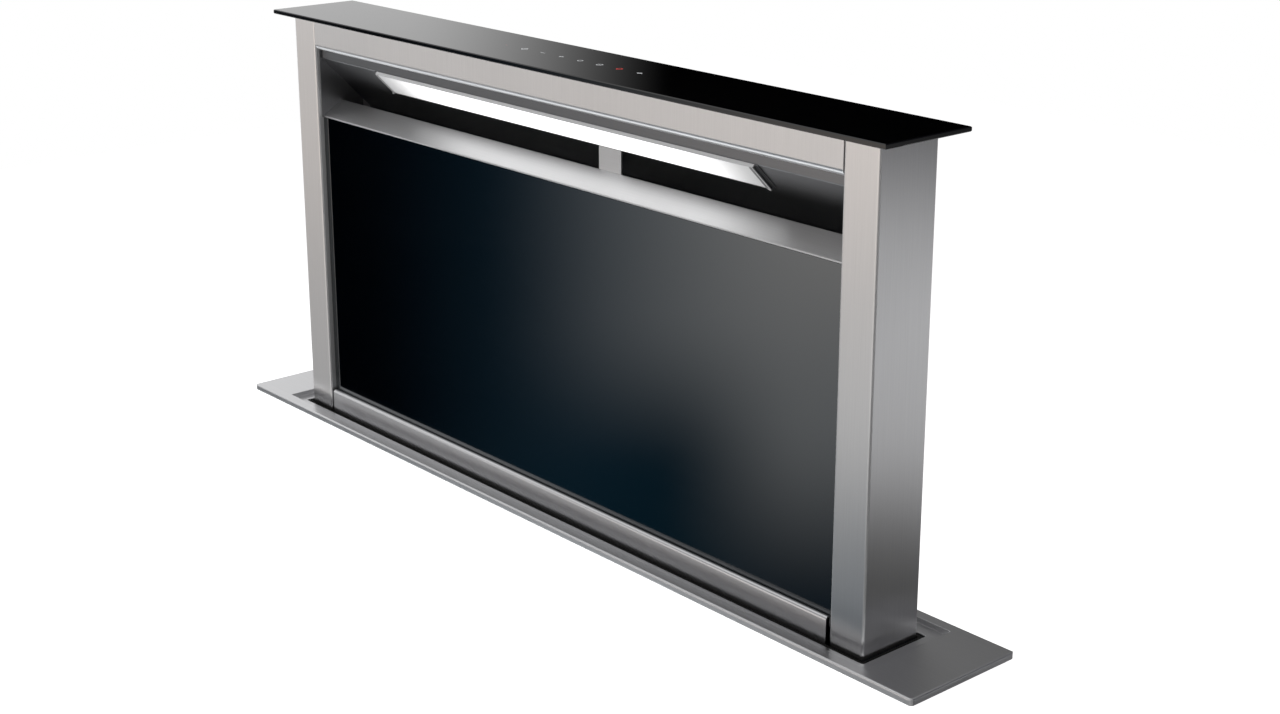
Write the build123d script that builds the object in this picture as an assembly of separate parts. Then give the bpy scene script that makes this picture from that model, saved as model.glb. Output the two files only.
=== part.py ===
from build123d import *
import os
from math import acos, asin, atan2, cos, degrees, pi, radians, sin, sqrt, tan

# Downdraft vent that rises out of a worktop behind a hob, shown raised.
# Millimetres. +X is to the cook's right, -Y points at the cook, +Z is up.
# The origin is the middle of the worktop cut-out, level with the top of the worktop.

# ---- flange on the worktop ----
flange_width = 900.0
flange_depth = 115.0
flange_thick = 5.5
flange_corner = 3.0
flange_round = 1.4
ledge_thick = 1.0
pocket_corner = 2.0

# ---- glass top that closes the flange when the column is down ----
rim_side = 53.2
rim_front = 10.7
top_thick = 4.0
top_bevel = 0.7
top_gap = 1.8
top_height = 398.0
top_sunk = 0.3
tray_thick = 2.0

# ---- column ----
top_side_overhang = 16.0
column_depth = 61.0
column_forward = 1.5
column_gap = 5.0
tail_length = 90.0
post_width = 34.5
post_wall = 1.2
post_corner = 2.0
sheet = 1.0
seam = 0.3
panel_lip = 10.0

# ---- air slot at the head of the column ----
fascia_height = 30.0
fascia_wall = 1.2
fascia_roll = 5.5
deflector_lip = 26.0
deflector_drop = 8.0
deflector_angle = 45.0
deflector_foot = 12.0
deflector_bend = 1.5
cheek_setback = 4.0
slot_height = 65.4
sill_nose = 5.7
sill_run = 22.0
sill_angle = 30.0
sill_lip = 16.0
sill_back = 11.0
stay_width = 28.0
stay_place = 57.0
stay_thick = 1.5

# ---- light bar on the deflector ----
light_length = 498.0
light_width = 28.0
light_depth = 3.0
light_wall = 1.0
light_top = 0.4
diffuser_thick = 1.2
led_strip_width = 10.0
led_size = 3.0
led_count = 12
clip_length = 4.0
clip_thick = 0.8
led_height = 0.25

# ---- touch board under the glass top ----
key_count = 8
key_pitch = 25.0
key_size = 12.0
board_depth = 24.0
board_thick = 1.6
board_margin = 6.0
window_gap = 1.0

# ---- glass front panel ----
glass_setback = 5.8
glass_thick = 4.0
glass_gap = 0.6
glass_foot = 14.0
glass_head_gap = 0.4
frame_side = 6.0
frame_lip = 8.0
frame_top_gap = 5.0
catch_height = 20.0
catch_gap = 0.3
catch_low = 70.0
catch_high = 230.0

# ---- bottom rail of the column ----
rail_height = 22.0
rail_end_gap = 4.0
rail_roll = 2.8
rail_shelf = 12.0
beam_height = 30.0
beam_lip = 12.0
beam_wall = 1.5

# ---- grease filters ----
filter_count = 3
filter_thick = 9.0
filter_rim = 7.0
filter_gap = 1.0
filter_foot_y = -4.0
filter_head_y = 17.0
filter_foot_z = 32.0
filter_head_z = 284.0
filter_core = 3.0
pleat_pitch = 24.0
filter_rail_wall = 1.2
filter_rail_lip = 11.0

# ---- lift: rack, pinion and cross shaft ----
module = 2.5
pinion_teeth = 12
pressure_angle = 25.0
addendum = 1.0
dedendum = 1.25
pinion_face = 10.0
mesh_gap = 0.3
rack_face = 12.0
rack_margin = 15.0
shaft_radius = 5.0
shaft_y = 20.0
shaft_drop = 19.0
bore_gap = 0.05
pinion_start = 7.0
end_plate = 3.0
bearing_width = 26.0
bearing_wall = 7.0
bearing_start = 6.0
bearing_chamfer = 4.0

# ---- guides ----
guide_y = -14.0
guide_inner = 20.0
guide_wall = 1.5
guide_flange = 24.0
shoe_gap = 0.3
shoe_height = 50.0
shoe_end_gap = 0.5

# ---- gear motor ----
gearbox_width = 44.0
gearbox_depth = 42.0
gearbox_height = 42.0
gearbox_x = 222.0
gearbox_chamfer = 3.0
lift_motor_radius = 18.0
lift_motor_length = 75.0
lift_motor_offset = 15.0
bracket_width = 60.0
bracket_thick = 3.0

# ---- housing below the worktop ----
housing_inset = 20.0
housing_depth = 95.0
housing_height = 640.0
housing_lip = 12.0
seal_height = 4.0
seal_gap = 0.6
seal_overlap = 8.0

# ---- blower ----
wheel_x = -60.0
wheel_z = -490.0
wheel_radius = 78.0
wheel_width = 80.0
wheel_plate = 2.0
wheel_ring = 3.0
wheel_sides = 48
blade_count = 24
blade_depth = 16.0
blade_thick = 1.4
blade_sweep = 13.0
blade_bow = 1.2
hub_radius = 14.0
hub_length = 34.0
wheel_shaft_radius = 4.0
scroll_wall = 2.0
scroll_start = 86.0
scroll_end = 136.0
outlet_reach = 108.0
outlet_height = 150.0
cover_thick = 2.0
wheel_setback = 46.0
inlet_radius = 66.0
throat_radius = 60.0
throat_wall = 1.2
throat_flange = 8.0
throat_overlap = 3.0
fan_motor_radius = 46.0
fan_motor_length = 42.0
fan_motor_flange = 108.0
fan_motor_plate = 3.0

# ---- duct collar and dampers ----
collar_radius = 75.0
collar_wall = 2.0
collar_length = 45.0
collar_rim = 5.0
collar_plate_thick = 2.5
flap_thick = 1.4
flap_gap = 0.8
flap_setback = 14.0
flap_parting = 1.0
damper_pin_radius = 2.0
knuckle_radius = 4.0
knuckle_count = 2
knuckle_gap = 0.5

# ---- control box ----
control_width = 180.0
control_height = 120.0
control_depth = 38.0
control_wall = 2.5
control_side = 25.0
control_z = -330.0
lid_thick = 3.0
lid_chamfer = 2.0
circuit_thick = 1.6
circuit_stand = 6.0
relay_count = 3
relay_size = 21.0
relay_height = 17.0
relay_pitch = 32.0
terminal_depth = 10.0
terminal_height = 13.0
gland_from_side = 135.0
gland_radius = 11.0
gland_bore = 4.0
gland_length = 18.0

# ---- brackets that hold the housing ----
foot_width = 60.0
foot_height = 60.0
foot_length = 20.0
foot_thick = 2.0
foot_hole_radius = 2.75
foot_hole_spacing = 40.0
clamp_from_side = 130.0
clamp_width = 40.0
clamp_leg = 30.0
clamp_reach = 24.0
clamp_drop = 62.0
clamp_thick = 2.0

# ---- places worked out from those sizes ----
top_width = flange_width - 2 * rim_side - 2 * top_gap
top_depth = flange_depth - 2 * rim_front - 2 * top_gap
column_width = top_width - 2 * top_side_overhang
housing_width = flange_width - 2 * housing_inset
column_front = -column_forward - column_depth / 2
column_back = column_front + column_depth
column_middle = (column_front + column_back) / 2
glass_under = top_height - top_thick
travel = glass_under - ledge_thick - top_sunk
post_outer = column_width / 2
post_inner = post_outer - post_width
inside = post_inner - sheet
tail = -tail_length
fascia_foot = glass_under - fascia_height
sill_height = fascia_foot - slot_height
deflector_front = column_front + fascia_roll
deflector_low = fascia_foot - deflector_drop
deflector_rear = column_back - sheet
glass_front = column_front + glass_setback
glass_back = glass_front + glass_thick
shaft_z = tail - end_plate - shaft_drop
pitch_radius = module * pinion_teeth / 2
tooth_pitch = pi * module
rack_pitch_y = shaft_y + pitch_radius + mesh_gap
pinion_x = post_outer + pinion_start + pinion_face / 2
wall_outer_x = housing_width / 2
wall_inner_x = wall_outer_x - sheet
wall_outer_y = housing_depth / 2
wall_inner_y = wall_outer_y - sheet
floor_z = -housing_height
wheel_front = -wall_outer_y - wheel_setback - wheel_width
collar_plate = 2 * (collar_radius + collar_rim)
scroll_depth = collar_plate
scroll_step = (scroll_end - scroll_start) / 3
scroll_x = wheel_x + scroll_step / 2
scroll_z = wheel_z + scroll_step / 2
outlet_x = scroll_x + outlet_reach
outlet_low = scroll_z + scroll_end - outlet_height
cover_y = -wall_outer_y - scroll_depth
collar_y = -wall_outer_y - scroll_depth / 2
collar_z = scroll_z + scroll_end - outlet_height / 2
control_x = -wall_outer_x + control_side
gland_x = control_x + gland_from_side
parts = {}


def block(x0, x1, y0, y1, z0, z1):
    """A box between two opposite corners."""
    middle = Pos((x0 + x1) / 2, (y0 + y1) / 2, (z0 + z1) / 2)
    return middle * Box(x1 - x0, y1 - y0, z1 - z0)


def rod_x(radius, x0, x1, y, z):
    """A round bar along X."""
    return Pos((x0 + x1) / 2, y, z) * Rot(0, 90, 0) * Cylinder(radius, x1 - x0)


def rod_y(radius, y0, y1, x, z):
    """A round bar along Y."""
    return Pos(x, (y0 + y1) / 2, z) * Rot(90, 0, 0) * Cylinder(radius, y1 - y0)


def rod_z(radius, z0, z1, x, y):
    """A round bar along Z."""
    return Pos(x, y, (z0 + z1) / 2) * Cylinder(radius, z1 - z0)


def along_x(section, x0, x1):
    """A section drawn in Y and Z, run along X."""
    return Pos(x0, 0, 0) * extrude(Plane.YZ * section, x1 - x0)


def upright(section, z0, z1):
    """A section drawn in X and Y, run upwards."""
    return Pos(0, 0, z0) * extrude(section, z1 - z0)


def folded(points, thick, bend, side=Side.RIGHT):
    """Section of a sheet folded along the points, with its thickness on one side of them."""
    return make_face(FilletPolyline(*points, radius=bend).offset_2d(thick, side=side))


def mirrored(piece):
    """The same piece at the other end of the vent."""
    return mirror(piece, about=Plane.YZ)


def group(pieces):
    """Like pieces that share one node and stay separate solids."""
    return Compound(children=[solid for piece in pieces for solid in piece.solids()])


def both_ends(name, right):
    """Writes down a piece and its mirror image, each as a node."""
    parts[name + "_right"] = right
    parts[name + "_left"] = mirrored(right)


def pair(right):
    """A small piece and its mirror image, sharing one node."""
    return group([right, mirrored(right)])


# ---- flange ----


def flange_frame():
    """Pressed rim: a pocket for the glass top, and a ledge round the column."""
    outline = upright(RectangleRounded(flange_width, flange_depth, flange_corner), 0, flange_thick)
    plate = upright(Rectangle(flange_width, flange_depth), 0, flange_thick)
    plate = outline & fillet(plate.edges().group_by(Axis.Z)[-1], flange_round)
    pocket = RectangleRounded(top_width + 2 * top_gap, top_depth + 2 * top_gap, pocket_corner)
    opening = Pos(0, column_middle) * RectangleRounded(
        column_width + 2 * column_gap, column_depth + 2 * column_gap, post_corner
    )
    return plate - upright(pocket, ledge_thick, flange_thick) - upright(opening, 0, ledge_thick)


def slot_seal():
    """Four rubber strips under the ledge that wipe the column and darken the slot."""
    in_x = post_outer + seal_gap
    in_front = column_front - seal_gap
    in_back = column_back + seal_gap
    out_x = post_outer + column_gap + seal_overlap
    out_front = column_front - column_gap - seal_overlap
    out_back = column_back + column_gap + seal_overlap
    side = block(in_x, out_x, in_front, in_back, -seal_height, 0)
    front = block(-out_x, out_x, out_front, in_front, -seal_height, 0)
    back = block(-out_x, out_x, in_back, out_back, -seal_height, 0)
    return group([side, mirrored(side), front, back])


parts["flange_frame"] = flange_frame()
parts["slot_seal"] = slot_seal()

# ---- head of the column ----


def glass_top():
    """Toughened glass lid with a small polished bevel all round."""
    lid = Pos(0, 0, glass_under + top_thick / 2) * Box(top_width, top_depth, top_thick)
    level = lid.edges().group_by(Axis.Z)
    return chamfer(level[0] + level[-1], top_bevel)


def board_half():
    """Half the length of the touch board."""
    return key_count * key_pitch / 2 + board_margin


def top_tray():
    """Steel plate bonded under the glass, with a window for the touch board."""
    low = glass_under - tray_thick
    plate = block(-inside, inside, column_front + fascia_wall, column_back - sheet, low, glass_under)
    half = board_half() + window_gap
    side = board_depth / 2 + window_gap
    return plate - block(-half, half, -side, side, low, glass_under)


def touch_board():
    """Circuit board glued to the glass, one sensing pad and one chip for each key."""
    half = board_half()
    low = glass_under - board_thick
    board = block(-half, half, -board_depth / 2, board_depth / 2, low, glass_under)
    first = -(key_count - 1) * key_pitch / 2
    for i in range(key_count):
        x = first + i * key_pitch
        chip = block(x - key_size / 2, x + key_size / 2, -key_size / 4, key_size / 4, low - board_thick, low)
        board += chip
    return board


def post_right():
    """Square stainless tube at the end of the column."""
    outer = RectangleRounded(post_width, column_depth, post_corner)
    bore = Rectangle(post_width - 2 * post_wall, column_depth - 2 * post_wall)
    return upright(Pos(post_inner + post_width / 2, column_middle) * (outer - bore), tail, glass_under)


def back_panel():
    """Rear sheet of the column, folded forward where it meets the posts."""
    web = block(-post_inner, post_inner, column_back - sheet, column_back, tail, glass_under)
    lip_front = column_back - panel_lip
    lip = block(inside, post_inner, lip_front, column_back - sheet, tail, glass_under)
    return web + lip + mirrored(lip)


def fascia():
    """Front strip over the air slot, its lower edge rolled inwards."""
    roll_z = fascia_foot + fascia_roll
    roll_y = column_front + fascia_roll
    inner = fascia_roll - fascia_wall
    diagonal = sqrt(0.5)
    outline = [
        Line((column_front, roll_z), (column_front, glass_under)),
        Line((column_front, glass_under), (column_front + fascia_wall, glass_under)),
        Line((column_front + fascia_wall, glass_under), (column_front + fascia_wall, roll_z)),
        ThreePointArc(
            (column_front + fascia_wall, roll_z),
            (roll_y - inner * diagonal, roll_z - inner * diagonal),
            (roll_y, fascia_foot + fascia_wall),
        ),
        Line((roll_y, fascia_foot + fascia_wall), (roll_y, fascia_foot)),
        ThreePointArc(
            (roll_y, fascia_foot),
            (roll_y - fascia_roll * diagonal, roll_z - fascia_roll * diagonal),
            (column_front, roll_z),
        ),
    ]
    return along_x(make_face(outline), -post_inner + seam, post_inner - seam)


def deflector():
    """Sloping plate that turns the air down: a lip behind the fascia and a foot on the back panel."""
    meet = deflector_rear - sheet
    meet_z = deflector_low - (meet - deflector_front) * tan(radians(deflector_angle))
    points = [
        (deflector_front, deflector_low + deflector_lip),
        (deflector_front, deflector_low),
        (meet, meet_z),
        (meet, meet_z - deflector_foot),
    ]
    return along_x(folded(points, sheet, deflector_bend, Side.LEFT), -inside, inside)


def recess_cheek():
    """Side wall of the air slot, against the post."""
    y0 = column_front + cheek_setback
    side = block(inside, post_inner, y0, column_back - panel_lip, sill_height, glass_under)
    return side - block(inside, post_inner, y0, deflector_front, fascia_foot, glass_under)


def sill_section():
    """Nose over the glass panel, slope into the slot, and a lip down behind the glass."""
    y0 = column_front + sill_nose
    rise = tan(radians(sill_angle))
    y1 = y0 + sill_run
    z1 = sill_height + sill_run * rise
    skin = sheet / cos(radians(sill_angle))
    slope = Polyline(
        (y0, sill_height),
        (y0, sill_height + skin),
        (y1, z1 + skin),
        (y1, z1 - sill_back),
        (y1 - sheet, z1 - sill_back),
        (y1 - sheet, z1 - sheet * rise),
        (glass_back + sheet, sill_height + (glass_back + sheet - y0) * rise),
        (glass_back + sheet, sill_height - sill_lip),
        (glass_back, sill_height - sill_lip),
        (glass_back, sill_height),
        close=True,
    )
    return make_face(slope)


def centre_stay():
    """Strip that ties the sill to the deflector, a little right of the middle of the slot."""
    y1 = column_front + sill_nose + sill_run
    foot = sill_height + sill_run * tan(radians(sill_angle)) - sill_back
    fall = tan(radians(deflector_angle))
    side = Polyline(
        (y1, foot),
        (y1 + stay_thick, foot),
        (y1 + stay_thick, deflector_low - (y1 + stay_thick - deflector_front) * fall),
        (y1, deflector_low - (y1 - deflector_front) * fall),
        close=True,
    )
    return along_x(make_face(side), stay_place - stay_width / 2, stay_place + stay_width / 2)


parts["glass_top"] = glass_top()
parts["top_tray"] = top_tray()
parts["touch_board"] = touch_board()
both_ends("post", post_right())
parts["back_panel"] = back_panel()
parts["fascia"] = fascia()
parts["deflector"] = deflector()
parts["recess_cheeks"] = pair(recess_cheek())
parts["sill"] = along_x(sill_section(), -inside, inside)
parts["centre_stay"] = centre_stay()

# ---- light bar: drawn flat, then tilted on to the deflector ----

light_place = Plane(
    origin=(0, deflector_front, deflector_low),
    x_dir=(1, 0, 0),
    z_dir=(0, -sin(radians(deflector_angle)), -cos(radians(deflector_angle))),
)


def on_deflector(piece):
    """Puts a piece drawn with Z off the deflector and -Y up its slope in its place."""
    return light_place * piece


def light_housing():
    """Aluminium channel: a floor on the deflector and two low walls."""
    half = light_length / 2
    y0 = -light_top
    y1 = y0 - light_width
    body = block(-half, half, y1, y0, 0, light_depth)
    inner_y0 = y0 - light_wall
    inner_y1 = y1 + light_wall
    channel = body - block(-half, half, inner_y1, inner_y0, light_wall, light_depth)
    return on_deflector(channel)


def led_board():
    """Strip of LEDs on the floor of the channel."""
    half = light_length / 2 - clip_length
    middle = -light_top - light_width / 2
    top = light_wall + sheet / 2
    strip = block(
        -half, half, middle - led_strip_width / 2, middle + led_strip_width / 2, light_wall, top
    )
    pitch = 2 * half / led_count
    pads = [
        block(
            x - led_size / 2, x + led_size / 2, middle - led_size / 2, middle + led_size / 2,
            top, top + led_height,
        )
        for x in (-half + (i + 0.5) * pitch for i in range(led_count))
    ]
    return on_deflector(strip + pads)


def light_diffuser():
    """Opal cover snapped between the walls of the channel."""
    half = light_length / 2 - clip_thick
    y0 = -light_top - light_wall
    y1 = y0 - light_width + 2 * light_wall
    return on_deflector(block(-half, half, y1, y0, light_depth - diffuser_thick, light_depth))


def light_clip():
    """Bent spring clip that closes one end of the bar."""
    half = light_length / 2
    y0 = -light_top
    y1 = y0 - light_width
    foot = block(half, half + clip_length, y1, y0, 0, clip_thick)
    wall = block(half, half + clip_thick, y1, y0, 0, light_depth)
    return on_deflector(foot + wall)


parts["light_housing"] = light_housing()
parts["led_board"] = led_board()
parts["light_diffuser"] = light_diffuser()
parts["light_clips"] = pair(light_clip())

# ---- front of the column ----


def glass_panel():
    """Dark glass that fills the front between the posts."""
    half = post_inner - glass_gap
    return block(-half, half, glass_front, glass_back, glass_foot, sill_height - glass_head_gap)


def panel_frame():
    """Steel tray bonded behind the glass, with its edges folded back."""
    half = post_inner - frame_side
    low = glass_foot + frame_side
    high = sill_height - sill_lip - frame_top_gap
    body = block(-half, half, glass_back, glass_back + frame_lip, low, high)
    inner = block(
        -half + sheet, half - sheet, glass_back + sheet, glass_back + frame_lip, low + sheet, high - sheet
    )
    return body - inner


def panel_catches():
    """Magnet catches on the posts, two at each side, that hold the panel frame."""
    x0 = post_inner - frame_side + catch_gap
    right = [
        block(x0, post_inner, glass_back + sheet, glass_back + frame_lip, z, z + catch_height)
        for z in (catch_low, catch_high)
    ]
    return group(right + [mirrored(piece) for piece in right])


def bottom_rail():
    """Rolled rail under the glass: it carries the panel on its shelf and closes the front."""
    roll_z = rail_height - rail_roll
    back = column_front + 2 * rail_roll
    skin = fascia_wall
    foot = tail + beam_height
    outline = [
        Line((column_front, foot), (column_front, roll_z)),
        ThreePointArc((column_front, roll_z), (column_front + rail_roll, rail_height), (back, roll_z)),
        Line((back, roll_z), (back, glass_foot)),
        Line((back, glass_foot), (back + rail_shelf, glass_foot)),
        Line((back + rail_shelf, glass_foot), (back + rail_shelf, glass_foot - skin)),
        Line((back + rail_shelf, glass_foot - skin), (back - skin, glass_foot - skin)),
        Line((back - skin, glass_foot - skin), (back - skin, roll_z)),
        ThreePointArc(
            (back - skin, roll_z),
            (column_front + rail_roll, rail_height - skin),
            (column_front + skin, roll_z),
        ),
        Line((column_front + skin, roll_z), (column_front + skin, foot)),
        Line((column_front + skin, foot), (column_front, foot)),
    ]
    half = post_inner - rail_end_gap
    return along_x(make_face(outline), -half, half)


def carriage_beam(back):
    """Angle that ties the feet of the posts together, with the air passing beside its lip."""
    y0 = column_back - sheet if back else column_front
    inward = -1 if back else 1
    wall = [y0, y0 + inward * beam_wall]
    lip = [y0, y0 + inward * beam_lip]
    upright_leg = block(-inside, inside, min(wall), max(wall), tail, tail + beam_height)
    flat_leg = block(-inside, inside, min(lip), max(lip), tail, tail + beam_wall)
    return upright_leg + flat_leg


parts["glass_panel"] = glass_panel()
parts["panel_frame"] = panel_frame()
parts["panel_catches"] = panel_catches()
parts["bottom_rail"] = bottom_rail()
parts["carriage_beams"] = group([carriage_beam(False), carriage_beam(True)])

# ---- grease filters: drawn upright, then leant back in their rails ----

filter_lean = degrees(atan2(filter_head_y - filter_foot_y, filter_head_z - filter_foot_z))
filter_length = sqrt((filter_head_y - filter_foot_y) ** 2 + (filter_head_z - filter_foot_z) ** 2)
filter_pitch = 2 * inside / filter_count


def leant(piece):
    """Leans a piece back about the foot of the filters."""
    return Pos(0, filter_foot_y, filter_foot_z) * Rot(-filter_lean, 0, 0) * piece


def grease_filter(i):
    """Aluminium cassette: a rim round a pleated mesh."""
    x0 = -inside + i * filter_pitch + filter_gap
    x1 = x0 + filter_pitch - 2 * filter_gap
    rim = block(x0, x1, 0, filter_thick, 0, filter_length)
    rim -= block(x0 + filter_rim, x1 - filter_rim, 0, filter_thick, filter_rim, filter_length - filter_rim)
    width = x1 - x0 - 2 * filter_rim
    pleats = 2 * round(width / pleat_pitch)
    step = width / pleats
    near = (filter_thick - filter_core) / 4
    far = filter_thick - filter_core - near
    front = [(x0 + filter_rim + k * step, far if k % 2 else near) for k in range(pleats + 1)]
    back = [(x, y + filter_core) for x, y in reversed(front)]
    mesh = upright(make_face(Polyline(*front, *back, close=True)), filter_rim, filter_length - filter_rim)
    return leant(rim + mesh)


def filter_rail_low():
    """Channel that the feet of the filters stand in."""
    wall = filter_rail_wall
    outer = block(-inside, inside, -wall, filter_thick + wall, -wall, filter_rail_lip)
    return leant(outer - block(-inside, inside, 0, filter_thick, 0, filter_rail_lip))


def filter_rail_high():
    """Angle that the heads of the filters lean on, riveted to the back panel."""
    top = filter_length + filter_gap
    wall = filter_rail_wall
    seat = leant(block(-inside, inside, filter_thick, filter_thick + wall, top - filter_rail_lip, top))
    rear = column_back - sheet
    low = filter_head_z - filter_rail_lip
    arm = block(-inside, inside, filter_head_y + filter_thick, rear, low, low + wall)
    foot = block(-inside, inside, rear - wall, rear, low, low + filter_rail_lip)
    return seat + arm + foot


filter_names = ("left", "middle", "right")
for i in range(filter_count):
    parts["grease_filter_" + filter_names[i]] = grease_filter(i)
parts["filter_rail_low"] = filter_rail_low()
parts["filter_rail_high"] = filter_rail_high()

# ---- lift ----


def pinion_section():
    """Toothed wheel: involute flanks from the base circle out, one tooth pointing back."""
    base = pitch_radius * cos(radians(pressure_angle))
    root = pitch_radius - dedendum * module
    tip = pitch_radius + addendum * module
    half_pitch_angle = pi / (2 * pinion_teeth)
    unwound = tan(radians(pressure_angle)) - radians(pressure_angle)

    def half_angle(radius):
        """Half the angle that a tooth spans at a radius."""
        roll = acos(min(1.0, base / radius))
        return half_pitch_angle + unwound - (tan(roll) - roll)

    def spot(radius, angle):
        """A point of the wheel, angle counted from the direction that points back."""
        return (shaft_y + radius * cos(angle), shaft_z + radius * sin(angle))

    middle = (base + tip) / 2
    tooth_angle = 2 * pi / pinion_teeth
    low, mid, high = half_angle(base), half_angle(middle), half_angle(tip)
    points = []
    for k in range(pinion_teeth):
        at = k * tooth_angle
        one_flank = [(root, low), (base, low), (middle, mid), (tip, high)]
        points += [spot(radius, at - half) for radius, half in one_flank]
        points += [spot(radius, at + half) for radius, half in reversed(one_flank)]
    bore = Pos(shaft_y, shaft_z) * Circle(shaft_radius + bore_gap)
    return make_face(Polyline(*points, close=True)) - bore


def rack():
    """Straight rack on the back wall, with a gap between teeth level with the raised shaft."""
    top = shaft_z + rack_margin
    bottom = shaft_z - travel - rack_margin
    tip_y = rack_pitch_y - addendum * module
    root_y = rack_pitch_y + dedendum * module
    back_y = wall_inner_y
    slope = tan(radians(pressure_angle))
    tip_half = tooth_pitch / 4 - addendum * module * slope
    root_half = tooth_pitch / 4 + dedendum * module * slope
    below = int((shaft_z - bottom) / tooth_pitch - 0.5)
    above = int((top - shaft_z) / tooth_pitch - 0.5)
    points = [(back_y, bottom), (root_y, bottom)]
    for k in range(-below, above):
        z = shaft_z + (k + 0.5) * tooth_pitch
        points += [
            (root_y, z - root_half),
            (tip_y, z - tip_half),
            (tip_y, z + tip_half),
            (root_y, z + root_half),
        ]
    points += [(root_y, top), (back_y, top)]
    face = make_face(Polyline(*points, close=True))
    return along_x(face, pinion_x - rack_face / 2, pinion_x + rack_face / 2)


def foot_plate():
    """Plate under the post: it carries the bearing below and the glide shoe beside the post."""
    under_post = block(post_inner, post_outer, column_front, column_back, tail - end_plate, tail)
    half = guide_inner / 2 - shoe_gap
    arm_end = wall_inner_x - guide_wall - shoe_end_gap
    arm = block(post_outer, arm_end, guide_y - half, guide_y + half, tail - end_plate, tail)
    return under_post + arm


def glide_shoe():
    """Nylon block that slides in the guide rail."""
    half = guide_inner / 2 - shoe_gap
    far = wall_inner_x - guide_wall - shoe_end_gap
    near = wall_inner_x - guide_flange + shoe_end_gap
    shoe = block(near, far, guide_y - half, guide_y + half, tail, tail + shoe_height)
    return chamfer(shoe.edges().group_by(Axis.Z)[-1], guide_wall)


def guide_rail():
    """Channel on the side wall that the shoe runs in."""
    half = guide_inner / 2
    near = wall_inner_x - guide_flange
    outer = Pos((near + wall_inner_x) / 2, guide_y) * Rectangle(guide_flange, guide_inner + 2 * guide_wall)
    groove = Pos((near + wall_inner_x) / 2 - guide_wall, guide_y) * Rectangle(guide_flange, 2 * half)
    low = shaft_z - travel - rack_margin
    return upright(outer - groove, low, -housing_lip)


def shaft_bearing():
    """Bearing block hung under the end plate."""
    x0 = post_inner + bearing_start
    radius = shaft_radius + bearing_wall
    top = tail - end_plate
    body = block(x0, x0 + bearing_width, shaft_y - radius, column_back, shaft_z - radius, top)
    body = chamfer(body.edges().filter_by(Axis.X).group_by(Axis.Z)[0], bearing_chamfer)
    return body - rod_x(shaft_radius + bore_gap, x0, x0 + bearing_width, shaft_y, shaft_z)


def cross_shaft():
    """Steel shaft that turns both pinions together."""
    end = pinion_x + pinion_face / 2 + end_plate
    return rod_x(shaft_radius, -end, end, shaft_y, shaft_z)


def motor_bracket():
    """Strap across the foot of the column that the gearbox hangs from."""
    half = bracket_width / 2
    top = tail
    return block(
        gearbox_x - half, gearbox_x + half, column_front, column_back - sheet, top - bracket_thick, top
    )


def gear_motor():
    """Worm gear motor: the cross shaft passes through its gearbox, and the motor hangs down."""
    top = tail - bracket_thick
    low = top - gearbox_height
    half = gearbox_width / 2
    depth = gearbox_depth / 2
    box = block(gearbox_x - half, gearbox_x + half, shaft_y - depth, shaft_y + depth, low, top)
    box = chamfer(box.edges().filter_by(Axis.Z), gearbox_chamfer)
    y = shaft_y - lift_motor_offset
    can = rod_z(lift_motor_radius, low - lift_motor_length, low, gearbox_x, y)
    bore = rod_x(shaft_radius + bore_gap, gearbox_x - half, gearbox_x + half, shaft_y, shaft_z)
    return box + can - bore


pinion = along_x(pinion_section(), pinion_x - pinion_face / 2, pinion_x + pinion_face / 2)
parts["pinions"] = pair(pinion)
both_ends("rack", rack())
parts["end_plates"] = pair(foot_plate())
parts["glide_shoes"] = pair(glide_shoe())
parts["guide_rails"] = pair(guide_rail())
parts["shaft_bearings"] = pair(shaft_bearing())
parts["cross_shaft"] = cross_shaft()
parts["motor_bracket"] = motor_bracket()
parts["gear_motor"] = gear_motor()

# ---- housing ----


def housing_front():
    """Front sheet, with the round hole that the blower draws through."""
    wall = block(-wall_outer_x, wall_outer_x, -wall_outer_y, -wall_inner_y, floor_z, 0)
    return wall - rod_y(inlet_radius, -wall_outer_y, -wall_inner_y, wheel_x, wheel_z)


def housing_side():
    """End sheet, folded in at its front, back and top."""
    web = block(wall_inner_x, wall_outer_x, -wall_inner_y, wall_inner_y, floor_z + sheet, 0)
    near = wall_inner_x - housing_lip
    front = block(near, wall_inner_x, -wall_inner_y, -wall_inner_y + sheet, floor_z + sheet, 0)
    back = block(near, wall_inner_x, wall_inner_y - sheet, wall_inner_y, floor_z + sheet, 0)
    top = block(near, wall_inner_x, -wall_inner_y, wall_inner_y, -sheet, 0)
    return web + front + back + top


parts["housing_front"] = housing_front()
parts["housing_back"] = block(-wall_outer_x, wall_outer_x, wall_inner_y, wall_outer_y, floor_z, 0)
both_ends("housing_side", housing_side())
parts["housing_bottom"] = block(
    -wall_outer_x, wall_outer_x, -wall_inner_y, wall_inner_y, floor_z, floor_z + sheet
)

# ---- blower ----


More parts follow.
